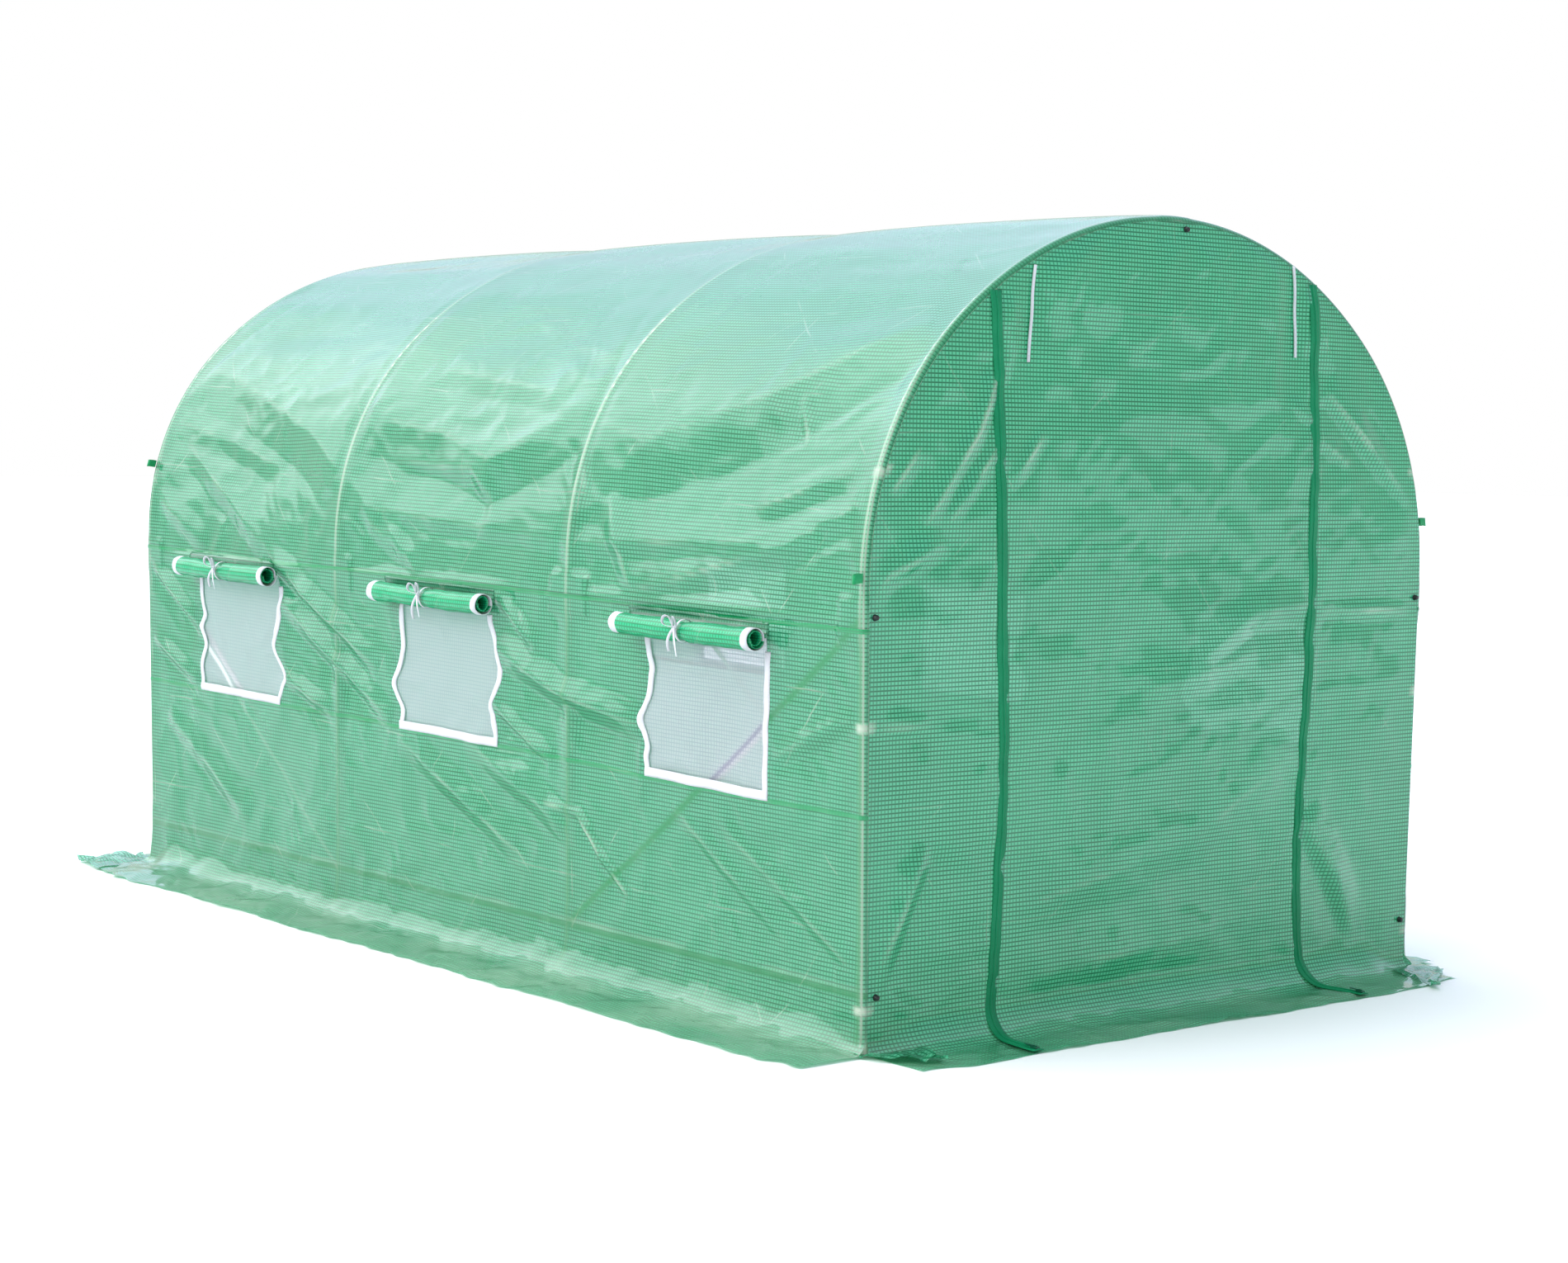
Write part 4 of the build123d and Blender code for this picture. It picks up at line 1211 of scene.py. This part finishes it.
def makeSlider(side):
    run = np.array([skirtRuns(ends["skirtRun"])[1] + slider["inFromEdge"]])
    x, y, z = [float(part[0]) for part in endPoint(zipX(f"{side}Zip", run), run, np.array([slider["above"]]), True)]
    body, bridge, pull = slider["body"], slider["bridge"], slider["pull"]
    bm = bmesh.new()
    addBlock(bm, body, (x, y, z + body[2] / 2), 0.0018)
    addBlock(bm, bridge, (x, y, z + body[2] + bridge[2] / 2 - 0.0006), 0.0010)
    addBlock(bm, pull, (x, y + pull[1] / 2 + 0.002, z + body[2] + 0.0012), 0.0009)
    return addPiece(f"{side}_zip_slider", keepMesh(bm, f"{side}_zip_slider"), [greenPlastic])


for side in sides:
    makeZip(side)
    makeSlider(side)
print("zips made")


def makeDoorTie(side):
    route = doorTies[side]
    low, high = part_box(f"{side}_door_tie")
    middleY = (low[1] + high[1]) / 2
    curve = bpy.data.curves.new(f"{side}_tie", "CURVE")
    curve.dimensions = "3D"
    spline = curve.splines.new("NURBS")
    spline.points.add(len(route) - 1)
    for point, (x, z) in zip(spline.points, route):
        point.co = (x, middleY, z, 1)
    spline.order_u = 3
    spline.use_endpoint_u = True
    spline.resolution_u = 12
    curve.bevel_depth = doorTies["tape"] / 2
    curve.bevel_resolution = 3
    curve.use_fill_caps = True
    piece = bpy.data.objects.new(f"{side}_tie", curve)
    curve.materials.append(whiteTape)
    bpy.context.collection.objects.link(piece)
    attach(piece, "root")
    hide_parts(f"{side}_door_tie")
    return piece


for side in sides:
    makeDoorTie(side)
print("door ties made")


# Rolled blinds under the eave seam, with white bands at both ends
blind = {
    "radius": 0.029,
    "pitch": 0.006,       # the roll shrinks by this each turn
    "turns": 2.5,
    "out": 0.0461,        # middle of the roll from the middle of the tubes
    "drop": 0.040,        # below the eave seam
    "half": 0.277,
    "shift": 0.035,
    "endBand": 0.026,
    "film": 0.0014,
    "sag": 0.003,
}


def rollPlace(side, along, turnAngle, radius, sagDown=0.0):
    # A place round the roll: the angle starts at the wall and goes under, out and over
    x, z, outX, outZ = archAt(eaveRun - blind["drop"] + seamShift(along) + 0 * turnAngle)
    away = blind["out"] - tunnel["filmOut"] + radius * np.cos(turnAngle)
    upward = radius * np.sin(turnAngle) - sagDown
    return sides[side] * (x + outX * away - outZ * upward), z + outZ * away + outX * upward


def makeBlind(side, bay):
    seed = 200 + bay + (10 if side == "right" else 0)
    middle = bayYs[bay] + blind["shift"]
    end = blind["endBand"]
    body = np.linspace(-blind["half"] + end, blind["half"] - end, 44)
    tip = np.array([blind["half"] - end / 2, blind["half"]])
    columns = np.concatenate([-tip[::-1], body, tip])
    hem = blind["drop"]
    spiral = 2 * pi * blind["turns"]
    rows = np.concatenate([np.linspace(-hem, -0.001, 5), np.linspace(0, spiral, 92)])
    mesh, along, wound = newSheet(f"{side}_rolled_blind_{bay + 1}", columns, rows)
    angle = pi + np.clip(wound, 0, None)
    dents = softNoise(along, angle * 0.03, 0.07, seed) + 0.6 * softNoise(along * 1.7, angle * 0.05, 0.03, seed + 1)
    pinch = falloff(along, 0.022)
    loose = ease(blind["half"] - 0.10, blind["half"], np.abs(along))
    radius = blind["radius"] - blind["pitch"] * np.clip(wound, 0, None) / (2 * pi) + 0.0021 * dents - 0.0035 * pinch
    radius = radius * (1 + 0.06 * loose * np.sin(angle * 1.5 + seed))
    x, z = rollPlace(side, middle + along, angle, radius, blind["sag"] * np.cos(along / blind["half"] * pi / 2))
    hemX, hemZ = rollPlace(side, middle + along, np.full_like(angle, pi), np.full_like(angle, blind["radius"]))
    hemRun = eaveRun - hem + seamShift(middle + along) + np.clip(-wound, 0, None)
    wallPlace = onCover(side, hemRun, middle + along, sideLift(side, hemRun, middle + along)[0] + 0.0012)
    joined = ease(0.0, 0.6 * hem, -wound)
    z = np.where(wound < 0, (1 - joined) * (hemZ - wound) + joined * wallPlace[2], z)
    points = (np.where(wound < 0, (1 - joined) * hemX + joined * wallPlace[0], x), middle + along, z)
    placeSheet(mesh, points, (along, np.where(wound < 0, wound, wound * 0.025)), (0, 0, 1))
    onRoll, onOuter = wound >= 0, wound < 2 * pi * 1.02
    for face in mesh.polygons:      # white bands at both ends, and the hem in the wall's film
        rolled = onRoll[face.vertices[0]] and onRoll[face.vertices[2]]
        if not rolled:
            face.material_index = 2
        elif abs(face.center.y - middle) > blind["half"] - end and onOuter[face.vertices[0]]:
            face.material_index = 1
    thicken(mesh, blind["film"])
    piece = addPiece(f"{side}_rolled_blind_{bay + 1}", mesh, [rolledFilm, whiteTape, greenFilm],
                     [f"{side}_blind_{bay + 1}"])
    return piece


# Tapes round the rolls, tied in bows
bow = {"width": 0.008, "depth": 0.0009, "loop": 0.030, "tail": 0.062}


def makeStrip(name, path, across, width):
    # A flat tape along a path, its width set along the given direction
    mesh, offset, step = newSheet(name, np.linspace(-width / 2, width / 2, 3), np.arange(len(path)))
    index = step.astype(int)
    path, across = np.array(path), np.array(across)
    across = across / np.linalg.norm(across, axis=1)[:, None]
    points = path[index] + across[index] * offset[:, None]
    return placeSheet(mesh, points.T, (offset, step * 0.004), (0, -1, 0))


def makeBow(side, bay):
    rng = np.random.RandomState(300 + bay + (10 if side == "right" else 0))
    middle = bayYs[bay] + blind["shift"]
    turns = np.linspace(0, 2 * pi, 48)
    x, z = rollPlace(side, middle, turns, np.full_like(turns, blind["radius"] - 0.0012), blind["sag"])
    ring = np.stack([x, np.full_like(x, middle), z], 1)
    strips = [makeStrip("ring", ring, np.tile((0, 1, 0), (48, 1)), bow["width"])]
    front = np.array([0.35])
    knotX, knotZ = rollPlace(side, middle, front, np.array([blind["radius"] + 0.003]), blind["sag"])
    knot = np.array([knotX[0], middle, knotZ[0]])
    outward = np.array([sides[side], 0, 0.25])
    for k, lean in enumerate((0.9, -0.75)):
        # Loop: out from the knot and back, standing up and to one side
        t = np.linspace(0, 1, 22)
        reach = bow["loop"] * (0.85 + 0.3 * rng.rand())
        sideways = np.sin(pi * t) * reach * lean + 0.009 * np.sin(2 * pi * t) * lean
        upward = np.sin(pi * t) * reach * (0.55 + 0.25 * rng.rand()) - 0.010 * np.sin(2 * pi * t)
        away = 0.004 + 0.012 * np.sin(pi * t)
        loop = knot + np.stack([outward[0] * away, sideways, upward + outward[2] * away], 1)
        strips.append(makeStrip("loop", loop, np.tile((sides[side] * 0.9, 0.15 * lean, 0.35), (22, 1)), bow["width"]))
        # Tail: hangs from the knot with a slight twist
        t = np.linspace(0, 1, 18)
        length = bow["tail"] * (0.8 + 0.45 * rng.rand())
        sway = lean * (0.010 * t + 0.012 * np.sin(2.4 * t))
        away = 0.003 + 0.006 * np.sin(pi * t)
        tail = knot + np.stack([outward[0] * away, sway, -length * t], 1)
        twist = 0.9 * t * lean + 0.3
        across = np.stack([sides[side] * np.sin(twist), np.cos(twist), 0 * t], 1)
        strips.append(makeStrip("tail", tail, across, bow["width"] * 0.9))
    bm = bmesh.new()
    bmesh.ops.create_icosphere(bm, subdivisions=2, radius=0.0058)
    bmesh.ops.scale(bm, vec=(0.8, 1.25, 1.0), verts=bm.verts)
    bmesh.ops.translate(bm, vec=knot, verts=bm.verts)
    ball = keepMesh(bm, "knot")
    tape = joinMeshes("tape", strips)
    thicken(tape, bow["depth"])
    return joinMeshes("bow", [tape, ball])


for side in sides:
    for bay in range(3):
        makeBlind(side, bay)
    mesh = joinMeshes(f"{side}_bows", [makeBow(side, bay) for bay in range(3)])
    addPiece(f"{side}_bows", mesh, [whiteTape], [f"{side}_blind_ties"])
print("blinds made")


# Webbing loops beside the end hoops
guyLoop = {
    "width": 0.022,
    "reach": 0.026,
    "gap": 0.0040,
    "depth": 0.0016,
    "runs": {"left_front": 1.098, "left_rear": 1.292, "right_front": 1.211, "right_rear": 1.211},
}


def makeGuyLoops():
    strips = []
    for corner, run in guyLoop["runs"].items():
        side, end = corner.split("_")
        sign = -1 if end == "front" else 1
        t = np.linspace(0, 1, 26)
        fold = np.clip((t - 0.4) / 0.2, 0, 1) * pi       # out, round the end and back
        stretch = guyLoop["reach"] - guyLoop["gap"] - 0.001
        away = np.where(t < 0.4, t / 0.4, np.where(t > 0.6, (1 - t) / 0.4, 1)) * stretch
        away = away + np.sin(fold) * guyLoop["gap"]
        along = sign * (hoopYs[-1] + 0.0053 - np.cos(fold) * guyLoop["gap"])
        x, z, outX, outZ = archAt(np.full_like(t, run))
        droop = 0.004 * (away / guyLoop["reach"]) ** 2
        path = np.stack([sides[side] * (x + outX * (away + 0.001)), along, z + outZ * (away + 0.001) - droop], 1)
        across = np.stack([-sides[side] * outZ, 0 * t, outX], 1)
        strips.append(makeStrip("webbing", path, across, guyLoop["width"]))
    mesh = joinMeshes("guy_webbing", strips)
    thicken(mesh, guyLoop["depth"])
    return addPiece("guy_webbing", mesh, [greenWebbing], ["guy_loops"])


makeGuyLoops()


# Bolt ends of the end hoops, which stand out through the end sheets under dark caps
boltCaps = {"radius": 0.0085, "length": 0.013, "places": ((0.966, 1.008), (0.943, 0.135)), "ridge": (0.029, 1.938)}


def makeBoltCaps():
    bm = bmesh.new()
    places = [(s * x, z) for s in (-1, 1) for x, z in boltCaps["places"]] + [boltCaps["ridge"]]
    for sign in (-1, 1):
        for x, z in places:
            made = bmesh.ops.create_cone(bm, cap_ends=True, segments=14, radius1=boltCaps["radius"],
                                         radius2=boltCaps["radius"] * 0.62, depth=boltCaps["length"])["verts"]
            around = {e for v in made for e in v.link_edges}
            rim = [e for e in around if len(e.link_faces) == 2 and e.calc_face_angle(0) > 0.9]
            shaped = bmesh.ops.bevel(bm, geom=rim, offset=0.0016, affect="EDGES", segments=2, profile=0.5, material=-1)
            verts = list({v for f in shaped["faces"] for v in f.verts} | {v for v in made if v.is_valid})
            turn = Matrix.Rotation(pi / 2 if sign < 0 else -pi / 2, 4, "X")
            y = sign * (hoopYs[-1] + tunnel["filmOut"] + boltCaps["length"] / 2 - 0.002)
            bmesh.ops.transform(bm, matrix=Matrix.Translation((x, y, z)) @ turn, verts=verts)
    return addPiece("bolt_caps", keepMesh(bm, "bolt_caps"), [blackPlastic])


makeBoltCaps()
print("small fittings made")


# Finishes of the frame pieces that the cover shows
for name, node in nodes.items():
    finish = socketPlastic if "connectors" in name else paintedSteel
    for place in node.material_slots:
        place.material = finish


# Studio: pale floor, soft sky and one broad lamp from the upper left
studio = {
    "floor": "#f6f6f4",
    "floorHalf": 60,
    "floorZ": -0.0005,
    "horizon": "#ffffff",
    "zenith": "#bcd2ff",
    "panel": 2.55,        # strength of the bright sky behind the tunnel
    # How the sky changes with its direction: the range there, and the strength at both ends of it
    "skyStep": ((0.14, 0.28), (0.0, 1.0)),       # the bright sky starts above this height,
    "behind": ((-0.4, 0.6), (0.12, 1.0)),        # is strongest behind the tunnel,
    "veil": ((0.34, 0.66), (0.68, 1.25)),        # has thin bright and dull places,
    "aside": ((-0.1, 0.5), (0.95, 0.42)),        # is weaker to the right
    "lofty": ((0.3, 0.65), (0.86, 1.12)),        # and stronger high up
    "base": ((-0.8, 0.5), (0.62, 1.0)),
    "bluer": ((-0.1, 0.2), (0.15, 0.60)),
    "sun": 0.8,
    "sunAngle": radians(28),
    "sunFrom": (-0.80, 0.15, 0.58),
}


def setFloor():
    bm = bmesh.new()
    bmesh.ops.create_grid(bm, x_segments=2, y_segments=2, size=studio["floorHalf"])
    bmesh.ops.translate(bm, vec=(0, 0, studio["floorZ"]), verts=bm.verts)
    mesh = keepMesh(bm, "floor")
    floor = bpy.data.objects.new("floor", mesh)
    # Matt pale ground that only takes the shadow
    material, tree = newMaterial("pale floor")
    showShader(tree, addPrincipled(tree, {"Base Color": linear(studio["floor"]), "Roughness": 0.9}, {}))
    mesh.materials.append(material)
    bpy.context.collection.objects.link(floor)


def setSky():
    world = bpy.data.worlds.new("sky")
    world.use_nodes = True
    tree = world.node_tree
    tree.nodes.clear()
    where = addNode(tree, "ShaderNodeTexCoord", {}).outputs[0]
    x, y, z = addNode(tree, "ShaderNodeSeparateXYZ", {}, s0=where).outputs
    high = smoothNode(tree, z, *studio["skyStep"])
    panel = mathNode(tree, "MULTIPLY", high, smoothNode(tree, y, *studio["behind"]))
    for source, part in ((noiseNode(tree, where, 3.4, 2.0), "veil"), (x, "aside"), (z, "lofty")):
        panel = mathNode(tree, "MULTIPLY", panel, rangeNode(tree, source, *studio[part]))
    power = mathNode(tree, "MULTIPLY_ADD", panel, studio["panel"], rangeNode(tree, y, *studio["base"]))
    tinted = mathNode(tree, "MULTIPLY", high, rangeNode(tree, x, *studio["bluer"]), clamp=True)
    colour = mixNode(tree, tinted, studio["horizon"], studio["zenith"])
    back = addNode(tree, "ShaderNodeBackground", {}, s0=colour, s1=power)
    addNode(tree, "ShaderNodeOutputWorld", {}, s0=back.outputs[0])
    bpy.context.scene.world = world


def setSun():
    sun = bpy.data.lights.new("sun", "SUN")
    sun.energy = studio["sun"]
    sun.angle = studio["sunAngle"]
    holder = bpy.data.objects.new("sun", sun)
    holder.rotation_euler = Vector(studio["sunFrom"]).to_track_quat("Z", "Y").to_euler()
    bpy.context.collection.objects.link(holder)


setFloor()
setSky()
setSun()
bpy.context.scene.view_settings.view_transform = "Standard"
print("studio set")
